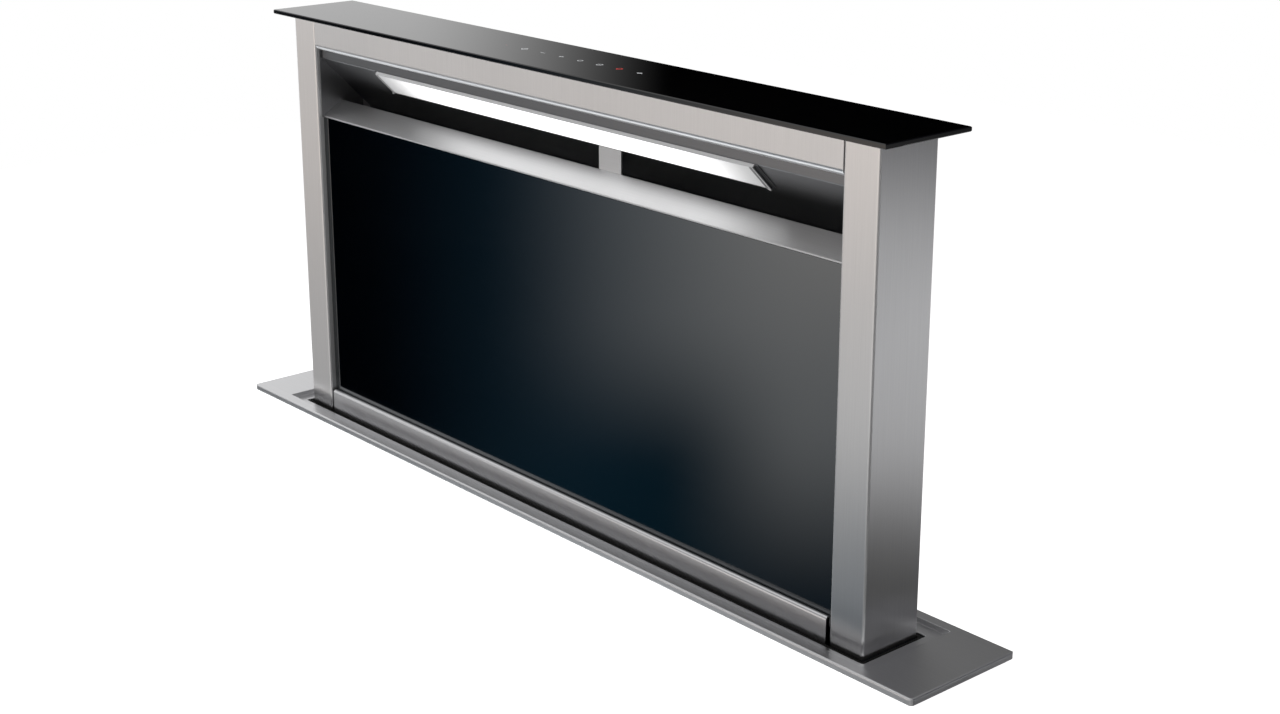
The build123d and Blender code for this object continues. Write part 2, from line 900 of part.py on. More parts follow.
def scroll_section(inset):
    """Scroll outline in X and Z: three quarter turns that widen to a straight outlet."""
    s = scroll_step
    radius = [scroll_end - k * s - inset for k in range(4)]
    top = scroll_z + scroll_end - inset
    low = outlet_low + inset
    far = outlet_x + (sheet if inset else 0)
    centre = [
        (scroll_x, scroll_z),
        (scroll_x - s, scroll_z),
        (scroll_x - s, scroll_z - s),
        (scroll_x, scroll_z - s),
    ]

    def spot(k, angle):
        """A point of arc k, angle counted up from +X."""
        return (centre[k][0] + radius[k] * cos(angle), centre[k][1] + radius[k] * sin(angle))

    tongue = asin((low - centre[3][1]) / radius[3])
    outline = [
        Line((far, low), (far, top)),
        Line((far, top), spot(0, pi / 2)),
        ThreePointArc(spot(0, pi / 2), spot(0, 3 * pi / 4), spot(0, pi)),
        ThreePointArc(spot(1, pi), spot(1, 5 * pi / 4), spot(1, 3 * pi / 2)),
        ThreePointArc(spot(2, 3 * pi / 2), spot(2, 7 * pi / 4), spot(2, 2 * pi)),
        ThreePointArc(spot(3, 0), spot(3, tongue / 2), spot(3, tongue)),
        Line(spot(3, tongue), (far, low)),
    ]
    return make_face(outline)


def along_y(section, y0, y1):
    """A section drawn in X and Z, run along Y."""
    return Pos(0, y1, 0) * extrude(Plane.XZ * section, y1 - y0)


def blower_scroll():
    """Scroll casing, open at the front for its cover, at the outlet and at the inlet."""
    rear = -wall_outer_y
    body = along_y(scroll_section(0), cover_y + cover_thick, rear)
    hollow = along_y(scroll_section(scroll_wall), cover_y + cover_thick, rear - scroll_wall)
    return body - hollow - rod_y(inlet_radius, rear - scroll_wall, rear, wheel_x, wheel_z)


def scroll_cover():
    """Flat cover of the scroll, with a hole for the motor shaft."""
    plate = along_y(scroll_section(0), cover_y, cover_y + cover_thick)
    return plate - rod_y(hub_radius, cover_y, cover_y + cover_thick, wheel_x, wheel_z)


def inlet_ring():
    """Many-sided throat that leads the air into the wheel, on a square flange on the front sheet."""
    half = inlet_radius + throat_flange
    seat = -wall_inner_y
    lip = -wall_outer_y - wheel_setback - throat_overlap
    outer = RegularPolygon(throat_radius, wheel_sides)
    bore = RegularPolygon(throat_radius - throat_wall, wheel_sides)
    flange = along_y(Rectangle(2 * half, 2 * half) - bore, seat, seat + throat_wall)
    return Pos(wheel_x, 0, wheel_z) * (flange + along_y(outer - bore, lip, seat))


def impeller():
    """Centrifugal wheel: hub, back plate and inlet ring, each many-sided, and blades bent once."""
    front = wheel_front
    back = wheel_front + wheel_width
    inner = wheel_radius - blade_depth
    outline = RegularPolygon(wheel_radius, wheel_sides)
    mouth = RegularPolygon(wheel_radius - wheel_ring, wheel_sides)
    plate = along_y(outline, front, front + wheel_plate)
    hub = rod_y(hub_radius, front, front + hub_length, 0, 0)
    ring = along_y(outline - mouth, back - wheel_ring, back)
    sweep = radians(blade_sweep)
    rim = wheel_radius - wheel_ring / 2
    start = Vector(inner, 0)
    end = Vector(rim * cos(sweep), rim * sin(sweep))
    middle = (start + end) * 0.5 + Vector(blade_bow, -blade_bow)
    line = Polyline(start, middle, end)
    blade = along_y(make_face(line.offset_2d(blade_thick, side=Side.LEFT)), front, back)
    wheel = plate + hub + ring
    wheel += [Rot(0, 360 * k / blade_count, 0) * blade for k in range(blade_count)]
    wheel -= rod_y(wheel_shaft_radius + bore_gap, front, front + hub_length, 0, 0)
    return Pos(wheel_x, 0, wheel_z) * wheel


def fan_motor():
    """Motor on the scroll cover: a square flange and a can with a bore for its shaft."""
    face = cover_y
    flange = Pos(wheel_x, wheel_z) * Rectangle(fan_motor_flange, fan_motor_flange)
    plate = along_y(flange, face - fan_motor_plate, face)
    can = rod_y(fan_motor_radius, face - fan_motor_length, face, wheel_x, wheel_z)
    return plate + can - rod_y(wheel_shaft_radius + bore_gap, face - hub_length / 2, face, wheel_x, wheel_z)


def wheel_shaft():
    """Motor shaft that the wheel is pressed on."""
    start = cover_y - hub_length / 2 + seam
    return rod_y(wheel_shaft_radius, start, wheel_front + hub_length + sheet, wheel_x, wheel_z)


parts["blower_scroll"] = blower_scroll()
parts["scroll_cover"] = scroll_cover()
parts["inlet_ring"] = inlet_ring()
parts["impeller"] = impeller()
parts["impeller_shaft"] = wheel_shaft()
parts["fan_motor"] = fan_motor()

# ---- outlet ----

flap_x = outlet_x + collar_plate_thick + flap_setback
flap_radius = collar_radius - collar_wall - flap_gap
collar_bore = collar_radius - collar_wall


def duct_collar():
    """Round spigot on a square plate."""
    half = collar_plate / 2
    tip = outlet_x + collar_plate_thick + collar_length
    far = outlet_x + collar_plate_thick
    plate = block(outlet_x, far, collar_y - half, -wall_outer_y, collar_z - half, collar_z + half)
    tube = rod_x(collar_radius, outlet_x, tip, collar_y, collar_z)
    return plate + tube - rod_x(collar_bore, outlet_x, tip, collar_y, collar_z)


def damper_pin():
    """Upright pin across the bore of the collar that both flaps hang on."""
    reach = sqrt(collar_bore**2 - damper_pin_radius**2)
    return rod_z(damper_pin_radius, collar_z - reach, collar_z + reach, flap_x, collar_y)


def damper_flap(side):
    """Half disc with its share of the eight-sided knuckles: side 1 is the rear flap and -1 the front one."""
    disc = rod_x(flap_radius, flap_x - flap_thick, flap_x, collar_y, collar_z)
    near = collar_y + side * flap_parting
    far = collar_y + side * collar_radius
    height = 2 * collar_radius
    disc &= block(
        flap_x - flap_thick, flap_x, min(near, far), max(near, far), collar_z - height, collar_z + height
    )
    clear = knuckle_radius + knuckle_gap
    reach = sqrt(flap_radius**2 - clear**2)
    length = 2 * reach / knuckle_count
    mine = [k for k in range(knuckle_count) if (k % 2 == 0) == (side == 1)]
    others = [k for k in range(knuckle_count) if k not in mine]
    for k in others:
        z0 = collar_z - reach + k * length - knuckle_gap
        disc -= rod_z(clear, z0, z0 + length + 2 * knuckle_gap, flap_x, collar_y)
    for k in mine:
        z0 = collar_z - reach + k * length
        barrel = Pos(flap_x, collar_y) * RegularPolygon(knuckle_radius, 8)
        disc += upright(barrel, z0 + knuckle_gap, z0 + length - knuckle_gap)
    pin = rod_z(damper_pin_radius + bore_gap, collar_z - height, collar_z + height, flap_x, collar_y)
    return disc - pin


parts["duct_collar"] = duct_collar()
parts["damper_pin"] = damper_pin()
parts["damper_flap_rear"] = damper_flap(1)
parts["damper_flap_front"] = damper_flap(-1)

# ---- control box ----

control_rear = -wall_outer_y
control_front = control_rear - control_depth
gland_y = (control_rear + control_front) / 2


def control_base():
    """Moulded box on the front of the housing, open to its lid."""
    x1 = control_x + control_width
    z1 = control_z + control_height
    base = block(control_x, x1, control_front, control_rear, control_z, z1)
    w = control_wall
    seat = control_rear - w
    half = circuit_stand / 2
    base -= block(control_x + w, x1 - w, control_front, seat, control_z + w, z1 - w)
    for x in (control_x + w + circuit_stand, x1 - w - circuit_stand):
        for z in (control_z + w + circuit_stand, z1 - w - circuit_stand):
            base += block(x - half, x + half, seat - circuit_stand, seat, z - half, z + half)
    return base - rod_z(gland_bore, control_z, control_z + w, gland_x, gland_y)


def control_lid():
    """Lid of the box, its outer edges chamfered."""
    x1 = control_x + control_width
    z1 = control_z + control_height
    lid = block(control_x, x1, control_front - lid_thick, control_front, control_z, z1)
    return chamfer(lid.edges().group_by(Axis.Y)[0], lid_chamfer)


def control_circuit():
    """Circuit board on its stand-offs, with relays and a terminal block."""
    w = control_wall + sheet
    x0 = control_x + w
    x1 = control_x + control_width - w
    z0 = control_z + w
    z1 = control_z + control_height - w
    back = control_rear - control_wall - circuit_stand
    board = block(x0, x1, back - circuit_thick, back, z0, z1)
    face = back - circuit_thick
    for k in range(relay_count):
        x = x0 + relay_size + k * relay_pitch
        board += block(x, x + relay_size, face - relay_height, face, z1 - 2 * relay_size, z1 - relay_size)
    low = z0 + terminal_depth
    board += block(x0 + relay_size, x1 - relay_size, face - terminal_height, face, low, low + terminal_depth)
    return board


def cable_gland():
    """Gland for the supply cable: a hexagon under the floor of the box, with the cable's bore."""
    nut = Pos(gland_x, gland_y) * (RegularPolygon(gland_radius, 6) - Circle(gland_bore))
    return upright(nut, control_z - gland_length, control_z)


parts["control_base"] = control_base()
parts["control_lid"] = control_lid()
parts["control_circuit"] = control_circuit()
parts["cable_gland"] = cable_gland()

# ---- brackets ----


def foot_bracket():
    """Angle at the foot of the housing, with two holes for screws into the cabinet floor."""
    half = foot_width / 2
    x0 = wall_outer_x
    leg = block(x0, x0 + foot_thick, -half, half, floor_z, floor_z + foot_height)
    base = block(x0, x0 + foot_length, -half, half, floor_z, floor_z + foot_thick)
    bracket = leg + base
    x = x0 + (foot_length + foot_thick) / 2
    for y in (-foot_hole_spacing / 2, foot_hole_spacing / 2):
        bracket -= rod_z(foot_hole_radius, floor_z, floor_z + foot_thick, x, y)
    return bracket


def clamp_bracket():
    """Angle under the worktop whose arm takes the clamping screw."""
    x1 = wall_outer_x - clamp_from_side + clamp_width / 2
    x0 = x1 - clamp_width
    y0 = wall_outer_y
    top = -clamp_drop
    leg = block(x0, x1, y0, y0 + clamp_thick, top - clamp_leg, top)
    return leg + block(x0, x1, y0, y0 + clamp_reach, top - clamp_thick, top)


parts["foot_brackets"] = pair(foot_bracket())
parts["clamp_brackets"] = group([pair(clamp_bracket()), mirror(pair(clamp_bracket()), about=Plane.XZ)])

os.makedirs("parts", exist_ok=True)
for name, piece in parts.items():
    export_step(piece, f"parts/{name}.step")
print(len(parts), "pieces, lift travel", round(travel, 3), "mm")
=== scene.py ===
import math

import bpy
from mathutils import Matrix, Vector


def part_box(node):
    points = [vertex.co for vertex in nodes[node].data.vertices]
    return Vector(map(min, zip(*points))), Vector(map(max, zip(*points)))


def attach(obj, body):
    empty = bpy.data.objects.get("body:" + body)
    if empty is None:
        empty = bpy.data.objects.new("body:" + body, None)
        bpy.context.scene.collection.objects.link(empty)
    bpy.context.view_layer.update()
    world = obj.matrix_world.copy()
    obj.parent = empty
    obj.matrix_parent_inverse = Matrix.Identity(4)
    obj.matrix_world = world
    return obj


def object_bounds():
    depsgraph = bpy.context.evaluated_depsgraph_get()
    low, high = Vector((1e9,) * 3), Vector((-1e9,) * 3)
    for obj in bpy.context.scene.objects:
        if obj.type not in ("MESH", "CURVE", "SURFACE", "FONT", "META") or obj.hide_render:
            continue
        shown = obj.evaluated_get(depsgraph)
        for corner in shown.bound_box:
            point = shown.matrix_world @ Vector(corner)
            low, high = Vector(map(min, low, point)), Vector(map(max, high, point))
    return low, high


# A downdraft vent, raised out of a worktop: a steel and glass column with a lit air slot,
# and below the worktop its housing, lift, blower, duct collar and control box.
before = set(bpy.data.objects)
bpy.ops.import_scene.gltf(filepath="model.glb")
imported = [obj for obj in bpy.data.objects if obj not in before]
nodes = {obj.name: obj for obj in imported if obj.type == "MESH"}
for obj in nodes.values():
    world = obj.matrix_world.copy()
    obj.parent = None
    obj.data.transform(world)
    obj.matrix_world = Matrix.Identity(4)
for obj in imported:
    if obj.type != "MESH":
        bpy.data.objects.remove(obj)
cad_low, cad_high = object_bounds()

# ---- camera ----
# The photograph's place: to the right of the vent and above it, looking down a little.
camera_place = (1.291, -1.045, 0.694)
camera_turn = math.radians(48.98)
camera_tilt = math.radians(17.12)
camera_data = bpy.data.cameras.new("camera")
camera_data.lens = 56.5
camera_data.sensor_width = 36.0
camera_data.shift_y = -0.04
camera = bpy.data.objects.new("camera", camera_data)
camera.location = camera_place
camera.rotation_euler = (math.pi / 2 - camera_tilt, 0.0, camera_turn)
bpy.context.scene.collection.objects.link(camera)
bpy.context.scene.camera = camera
bpy.context.scene.view_settings.view_transform = "Standard"

# ---- studio ----
# A white room that is dimmer below the horizon, with soft lamps overhead and at the front left.
# Steel and glass also see its cards, which give them their dark and light ends.
# A card's place is a turn in degrees, from 0 on the vent's left to 90 in front, and a height in degrees.
room_white = 1.0
room_light = 0.5
room_low, room_high = 0.5, 1.0
room_low_rise, room_high_rise = -30.0, -4.0
cards = (
    # name, turn and its reach, height and its reach, softness, colour
    ("front_warm", 74.0, 29.0, -9.0, 7.0, 5.0, (1.44, 1.30, 1.20)),
    ("left_bright", 2.0, 27.0, -2.0, 9.0, 5.0, (1.35, 1.42, 1.47)),
    ("left_low", 15.0, 20.0, -40.0, 14.5, 4.0, (1.8, 1.85, 1.9)),
    ("front_high", 59.0, 20.0, 25.0, 14.0, 6.0, (0.10, 0.10, 0.11)),
    ("back_grey", -68.0, 30.0, 38.0, 26.0, 10.0, (0.17, 0.17, 0.17)),
    ("back_flag", -58.0, 20.0, 7.0, 12.0, 4.0, (0.0, 0.0, 0.0)),
    ("camera_side", 141.0, 24.0, -12.0, 16.0, 5.0, (0.05, 0.05, 0.05)),
    ("right_far", -162.0, 17.0, -18.0, 14.0, 4.0, (0.06, 0.06, 0.06)),
    ("right_bright", -131.0, 14.0, -18.5, 5.5, 3.0, (1.03, 1.03, 1.05)),
    ("right_grey", -131.0, 44.0, 16.0, 29.5, 3.0, (0.04, 0.04, 0.05)),
    ("right_floor", -131.0, 44.0, -32.5, 10.0, 1.6, (0.02, 0.02, 0.02)),
    ("front_middle", 71.0, 21.0, -21.0, 2.5, 2.5, (1.3, 1.28, 1.26)),
    ("front_floor", 66.0, 26.0, -43.0, 20.0, 3.0, (0.03, 0.05, 0.07)),
    ("dusk_floor", 36.0, 8.0, -24.0, 4.5, 2.5, (0.0, 0.035, 0.06)),
    ("left_dusk", 31.5, 9.5, -16.0, 9.5, 5.0, (0.025, 0.07, 0.11)),
    ("left_flag", 30.0, 6.5, -15.5, 8.0, 4.0, (0.0, 0.0, 0.0)),
)


def add(tree, kind, inputs=None, **settings):
    """Adds a node to a tree, with its settings, and its inputs as values or as links."""
    node = tree.nodes.new(kind)
    for name, value in settings.items():
        setattr(node, name, value)
    for name, value in (inputs or {}).items():
        if isinstance(value, bpy.types.NodeSocket):
            tree.links.new(value, node.inputs[name])
        else:
            node.inputs[name].default_value = value
    return node


def compute(tree, operation, *numbers):
    """A number worked out from others, each a value or a link."""
    return add(tree, "ShaderNodeMath", dict(enumerate(numbers)), operation=operation).outputs[0]


def mix_colours(tree, share, first, second):
    """A colour between two, each a value or a link."""
    # on a mix node that is set to colour, sockets 6 and 7 go in and socket 2 comes out
    inputs = {"Factor": share, 6: first, 7: second}
    return add(tree, "ShaderNodeMix", inputs, data_type="RGBA").outputs[2]


def node_group(name, inputs, outputs, kind="ShaderNodeTree"):
    """Starts a node group with named sockets, and gives its tree and its input node."""
    tree = bpy.data.node_groups.new(name, kind)
    for direction, sockets in (("INPUT", inputs), ("OUTPUT", outputs)):
        for socket, form in sockets.items():
            tree.interface.new_socket(socket, in_out=direction, socket_type="NodeSocket" + form)
    return tree, tree.nodes.new("NodeGroupInput")


def card_mask():
    """How far a direction lies inside a card with soft edges."""
    names = ("Turn", "Height", "Turn Centre", "Turn Reach", "Height Centre", "Height Reach", "Softness")
    tree, given = node_group("studio_card", {name: "Float" for name in names}, {"Mask": "Float"})
    sides = []
    for name in ("Turn", "Height"):
        away = compute(tree, "SUBTRACT", given.outputs[name], given.outputs[name + " Centre"])
        away = compute(tree, "ABSOLUTE", away)
        past = compute(tree, "SUBTRACT", away, given.outputs[name + " Reach"])
        soft = compute(tree, "DIVIDE", past, given.outputs["Softness"])
        inside = add(tree, "ShaderNodeMapRange",
                     {"Value": soft, "From Min": -1.0, "From Max": 1.0, "To Min": 1.0, "To Max": 0.0},
                     interpolation_type="SMOOTHSTEP")
        sides.append(inside.outputs[0])
    add(tree, "NodeGroupOutput", {"Mask": compute(tree, "MULTIPLY", *sides)})
    return tree


studio = bpy.data.worlds.new("studio")
bpy.context.scene.world = studio
studio.use_nodes = True
room = studio.node_tree
room.nodes.clear()
toward = add(room, "ShaderNodeSeparateXYZ", {0: add(room, "ShaderNodeTexCoord").outputs["Generated"]})
backward = [compute(room, "MULTIPLY", toward.outputs[axis], -1.0) for axis in ("X", "Y")]
turn = compute(room, "DEGREES", compute(room, "ARCTAN2", backward[1], backward[0]))
rise = compute(room, "DEGREES", compute(room, "ARCSINE", toward.outputs["Z"]))
mask_tree = card_mask()
seen = add(room, "ShaderNodeMapRange",
           {"Value": rise, "From Min": room_low_rise, "From Max": room_high_rise,
            "To Min": room_low, "To Max": room_high}, interpolation_type="SMOOTHSTEP").outputs[0]
for name, turn_at, turn_reach, height_at, height_reach, softness, colour in cards:
    card = add(room, "ShaderNodeGroup",
               {"Turn": turn, "Height": rise, "Turn Centre": turn_at, "Turn Reach": turn_reach,
                "Height Centre": height_at, "Height Reach": height_reach, "Softness": softness},
               node_tree=mask_tree, name=name)
    seen = mix_colours(room, card.outputs["Mask"], seen, (*colour, 1.0))
rays = add(room, "ShaderNodeLightPath")
clear = compute(room, "MAXIMUM", rays.outputs["Is Camera Ray"], rays.outputs["Is Transmission Ray"])
plain = add(room, "ShaderNodeMix", {"Factor": clear, "A": room_light, "B": room_white})
shown = mix_colours(room, rays.outputs["Is Glossy Ray"], plain.outputs["Result"], seen)
backdrop = add(room, "ShaderNodeBackground", {"Color": shown})
add(room, "ShaderNodeOutputWorld", {"Surface": backdrop.outputs[0]})


def soft_lamp(name, place, aim, size, power):
    """A square soft lamp that points at a place, and that steel doesn't mirror."""
    lamp = bpy.data.lights.new(name, "AREA")
    lamp.shape = "SQUARE"
    lamp.size = size
    lamp.energy = power
    holder = bpy.data.objects.new(name, lamp)
    holder.location = place
    holder.rotation_euler = (Vector(aim) - Vector(place)).to_track_quat("-Z", "Y").to_euler()
    holder.visible_glossy = False
    bpy.context.scene.collection.objects.link(holder)


soft_lamp("overhead", place=(0.2, -0.3, 2.6), aim=(0.0, 0.0, 0.0), size=2.4, power=36.0)
soft_lamp("front_left", place=(-1.8, -2.4, 1.2), aim=(0.0, 0.0, 0.1), size=1.6, power=38.0)

# ---- ground ----
# A white worktop in front of the vent, cut away for the housing, and a white floor below it.
# Both look white to the camera and keep the shadow.
worktop_left, worktop_right = -0.62, 1.3
worktop_front, worktop_back = -1.3, 0.05
floor_reach = 4.2
floor_drop = 0.001
ground_white = 0.8
ground_glow = 0.6


def ground_white_material():
    """White ground with enough glow for the camera to see it white beside the room."""
    material = bpy.data.materials.new("ground_white")
    material.use_nodes = True
    tree = material.node_tree
    tree.nodes.clear()
    matt = add(tree, "ShaderNodeBsdfDiffuse", {"Color": (ground_white, ground_white, ground_white, 1.0)})
    camera_ray = add(tree, "ShaderNodeLightPath").outputs["Is Camera Ray"]
    glow = add(tree, "ShaderNodeEmission", {"Strength": compute(tree, "MULTIPLY", camera_ray, ground_glow)})
    both = add(tree, "ShaderNodeAddShader", {0: matt.outputs[0], 1: glow.outputs[0]})
    add(tree, "ShaderNodeOutputMaterial", {"Surface": both.outputs[0]})
    return material


def ground_sheet(name, xs, ys, height, left_out=None):
    """A flat sheet in rectangular fields, one of which may be left out."""
    points = [(x, y, height) for y in ys for x in xs]
    faces = []
    for row in range(len(ys) - 1):
        for column in range(len(xs) - 1):
            corner = row * len(xs) + column
            if (column, row) != left_out:
                faces.append((corner, corner + 1, corner + 1 + len(xs), corner + len(xs)))
    mesh = bpy.data.meshes.new(name)
    mesh.from_pydata(points, [], faces)
    mesh.materials.append(ground)
    sheet = bpy.data.objects.new(name, mesh)
    sheet.visible_glossy = False
    bpy.context.scene.collection.objects.link(sheet)
    return sheet


ground = ground_white_material()
housing_low, housing_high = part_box("housing_front")[0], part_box("housing_back")[1]
worktop = ground_sheet("worktop", (worktop_left, housing_low.x, housing_high.x, worktop_right),
                       (worktop_front, housing_low.y, worktop_back), 0.0, left_out=(1, 1))
worktop.visible_shadow = False
worktop.visible_diffuse = False
ground_sheet("floor", (-floor_reach, floor_reach), (-floor_reach, floor_reach), cad_low.z - floor_drop)

# ---- housing ----
# The box that hangs in the cabinet: five folded sheets of zinc-coated steel.
# The front and back sheets are riveted to the folded edges of the end sheets.
zinc_roughness = (0.40, 0.52)
rivet = {"Head Radius": 0.0032, "Head Height": 0.0014, "Recess Depth": 0.0001, "Sides": 12}
rivet_from_end = 0.007
rivet_pitch = 0.06
# a head's height goes in this share to its wall and the rest to its crown
head_wall = 0.6
# what is left of the width at the crown's top, at the recess's rim and at the recess's floor
crown_width, recess_width, recess_floor_width = 0.72, 0.62, 0.85
recess_rim = 0.00002


def finish(material, *names):
    """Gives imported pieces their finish."""
    for name in names:
        nodes[name].data.materials.clear()
        nodes[name].data.materials.append(material)


def new_material(name, **inputs):
    """A material with plain values on its own shader, and its tree, shader and object coordinates."""
    material = bpy.data.materials.new(name)
    material.use_nodes = True
    tree = material.node_tree
    shader = tree.nodes["Principled BSDF"]
    for socket, value in inputs.items():
        shader.inputs[socket.replace("_", " ")].default_value = value
    return material, tree, shader, add(tree, "ShaderNodeTexCoord").outputs["Object"]


def shade_between(tree, mask, dark, light):
    """A colour that goes from dark to light with a mask."""
    return mix_colours(tree, mask, (*dark, 1.0), (*light, 1.0))


def spread(tree, mask, low, high, start=0.3, end=0.7):
    """A number that goes from low to high while a mask goes from start to end."""
    values = {"Value": mask, "From Min": start, "From Max": end, "To Min": low, "To Max": high}
    return add(tree, "ShaderNodeMapRange", values).outputs[0]


def zinc_crystals():
    """The crystals of a zinc coating: flat patches, each a little lighter or darker."""
    tree, given = node_group("zinc_crystals", {"Vector": "Vector", "Scale": "Float"}, {"Shade": "Float"})
    bend = add(tree, "ShaderNodeTexNoise", {"Vector": given.outputs["Vector"], "Scale": 60.0})
    push = add(tree, "ShaderNodeVectorMath", {0: bend.outputs["Color"], "Scale": 0.012}, operation="SCALE")
    moved = add(tree, "ShaderNodeVectorMath", {0: given.outputs["Vector"], 1: push.outputs[0]})
    cells = add(tree, "ShaderNodeTexVoronoi", {"Vector": moved.outputs[0], "Scale": given.outputs["Scale"]})
    parts = add(tree, "ShaderNodeSeparateColor", {0: cells.outputs["Color"]})
    add(tree, "NodeGroupOutput", {"Shade": parts.outputs[0]})
    return tree


crystals = zinc_crystals()


def zinc_sheet(name, scale, dark, light):
    """Zinc-coated sheet, with its crystals in colour and in gloss."""
    material, tree, shader, place = new_material(name, Metallic=0.85)
    spangle = add(tree, "ShaderNodeGroup", {"Vector": place, "Scale": scale}, node_tree=crystals)
    shade = spangle.outputs["Shade"]
    tree.links.new(shade_between(tree, shade, dark, light), shader.inputs["Base Color"])
    rough = spread(tree, shade, *zinc_roughness, start=0.0, end=1.0)
    tree.links.new(rough, shader.inputs["Roughness"])
    rounded = add(tree, "ShaderNodeBevel", {"Radius": 0.0008}, samples=4)
    tree.links.new(rounded.outputs[0], shader.inputs["Normal"])
    return material


housing_zinc = zinc_sheet("housing_zinc", scale=70.0, dark=(0.40, 0.42, 0.44), light=(0.60, 0.62, 0.64))
finish(housing_zinc, "housing_front", "housing_back", "housing_side_left", "housing_side_right",
       "housing_bottom")


def fastener_tree():
    """Heads of screws, bolts or rivets, one at each point, turned the way its facing says."""
    inputs = {"Geometry": "Geometry", "Head Radius": "Float", "Head Height": "Float",
              "Recess Depth": "Float", "Sides": "Int", "Material": "Material"}
    tree, given = node_group("fastener_heads", inputs, {"Geometry": "Geometry"}, "GeometryNodeTree")
    wall = compute(tree, "MULTIPLY", given.outputs["Head Height"], head_wall)
    half = compute(tree, "MULTIPLY", wall, 0.5)
    crown = compute(tree, "MULTIPLY", given.outputs["Head Height"], 1.0 - head_wall)
    sunk = compute(tree, "MULTIPLY", given.outputs["Recess Depth"], -1.0)
    shank = add(tree, "GeometryNodeMeshCylinder",
                {"Vertices": given.outputs["Sides"], "Radius": given.outputs["Head Radius"], "Depth": wall})
    lifted = add(tree, "ShaderNodeCombineXYZ", {"Z": half})
    head = add(tree, "GeometryNodeTransform",
               {"Geometry": shank.outputs["Mesh"], "Translation": lifted.outputs[0]})
    mesh, top = head.outputs[0], shank.outputs["Top"]
    for offset, width in ((crown, crown_width), (recess_rim, recess_width), (sunk, recess_floor_width)):
        grown = add(tree, "GeometryNodeExtrudeMesh",
                    {"Mesh": mesh, "Selection": top, "Offset Scale": offset, "Individual": False})
        drawn = add(tree, "GeometryNodeScaleElements",
                    {"Geometry": grown.outputs["Mesh"], "Selection": grown.outputs["Top"], "Scale": width})
        mesh, top = drawn.outputs[0], grown.outputs["Top"]
    facing = add(tree, "GeometryNodeInputNamedAttribute", {"Name": "facing"}, data_type="FLOAT_VECTOR")
    turned = add(tree, "FunctionNodeAlignRotationToVector", {"Vector": facing.outputs[0]}, axis="Z")
    placed = add(tree, "GeometryNodeInstanceOnPoints",
                 {"Points": given.outputs["Geometry"], "Instance": mesh, "Rotation": turned.outputs[0]})
    solid = add(tree, "GeometryNodeRealizeInstances", {"Geometry": placed.outputs[0]})
    coated = add(tree, "GeometryNodeSetMaterial",
                 {"Geometry": solid.outputs[0], "Material": given.outputs["Material"]})
    add(tree, "NodeGroupOutput", {"Geometry": coated.outputs[0]})
    return tree


def grown_piece(name, base, tree, values, body):
    """Runs a geometry tree on a base mesh, keeps the result as a plain mesh, and fixes it to a body."""
    piece = bpy.data.objects.new(name, base)
    bpy.context.scene.collection.objects.link(piece)
    growth = piece.modifiers.new("growth", "NODES")
    growth.node_group = tree
    for item in tree.interface.items_tree:
        if item.in_out == "INPUT" and item.name in values:
            growth[item.identifier] = values[item.name]
    whole = piece.evaluated_get(bpy.context.evaluated_depsgraph_get())
    mesh = bpy.data.meshes.new_from_object(whole)
    piece.modifiers.clear()
    piece.data = mesh
    mesh.name = name
    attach(piece, body)


heads = fastener_tree()


def fasteners(name, places, head, material, body):
    """Fastener heads at a list of places, each a point and the direction that its head faces."""
    base = bpy.data.meshes.new(name + "_places")
    base.from_pydata([point for point, way in places], [], [])
    facing = base.attributes.new("facing", "FLOAT_VECTOR", "POINT")
    facing.data.foreach_set("vector", [number for point, way in places for number in way])
    grown_piece(name, base, heads, {**head, "Material": material}, body)


def steps(start, end, pitch):
    """Even places from start to end, about a pitch apart."""
    count = max(1, round((end - start) / pitch))
    return [start + (end - start) * k / count for k in range(count + 1)]


def bright_steel(name, dark, light, roughness):
    """Turned or pressed steel with a faint cloudy oxide."""
    material, tree, shader, place = new_material(name, Metallic=1.0)
    cloud = add(tree, "ShaderNodeTexNoise", {"Vector": place, "Scale": 90.0, "Detail": 4.0}).outputs["Fac"]
    tree.links.new(shade_between(tree, cloud, dark, light), shader.inputs["Base Color"])
    tree.links.new(spread(tree, cloud, *roughness), shader.inputs["Roughness"])
    return material


screw_steel = bright_steel("screw_steel", dark=(0.42, 0.42, 0.42), light=(0.62, 0.62, 0.63),
                           roughness=(0.26, 0.4))
rivets = []
for x in (housing_low.x + rivet_from_end, housing_high.x - rivet_from_end):
    for z in steps(housing_low.z + rivet_from_end, -2 * rivet_from_end, rivet_pitch):
        rivets.append(((x, housing_low.y, z), (0, -1, 0)))
        rivets.append(((x, housing_high.y, z), (0, 1, 0)))
fasteners("housing_rivets", rivets, rivet, screw_steel, "housing")

# ---- lift track ----
# Guide channels of zinc-coated sheet, spot-welded to the end sheets of the housing.
# Beside them stand milled steel racks, welded to the back sheet along their roots.
finish(housing_zinc, "guide_rails")


def milled_steel(name, dark, light, roughness):
    """Milled steel, with the faint ridges that a cutter leaves across it."""
    material, tree, shader, place = new_material(name, Metallic=1.0)
    ridges = add(tree, "ShaderNodeTexWave",
                 {"Vector": place, "Scale": 900.0, "Distortion": 1.2, "Detail": 2.0}, bands_direction="Z")
    cloud = add(tree, "ShaderNodeTexNoise", {"Vector": place, "Scale": 60.0, "Detail": 3.0}).outputs["Fac"]
    tree.links.new(shade_between(tree, cloud, dark, light), shader.inputs["Base Color"])
    tree.links.new(spread(tree, cloud, *roughness), shader.inputs["Roughness"])
    bump = add(tree, "ShaderNodeBump",
               {"Strength": 0.2, "Distance": 0.00005, "Height": ridges.outputs["Fac"]})
    tree.links.new(bump.outputs[0], shader.inputs["Normal"])
    return material


rack_steel = milled_steel("rack_steel", dark=(0.34, 0.34, 0.35), light=(0.50, 0.50, 0.51),
                          roughness=(0.28, 0.42))
finish(rack_steel, "rack_left", "rack_right")

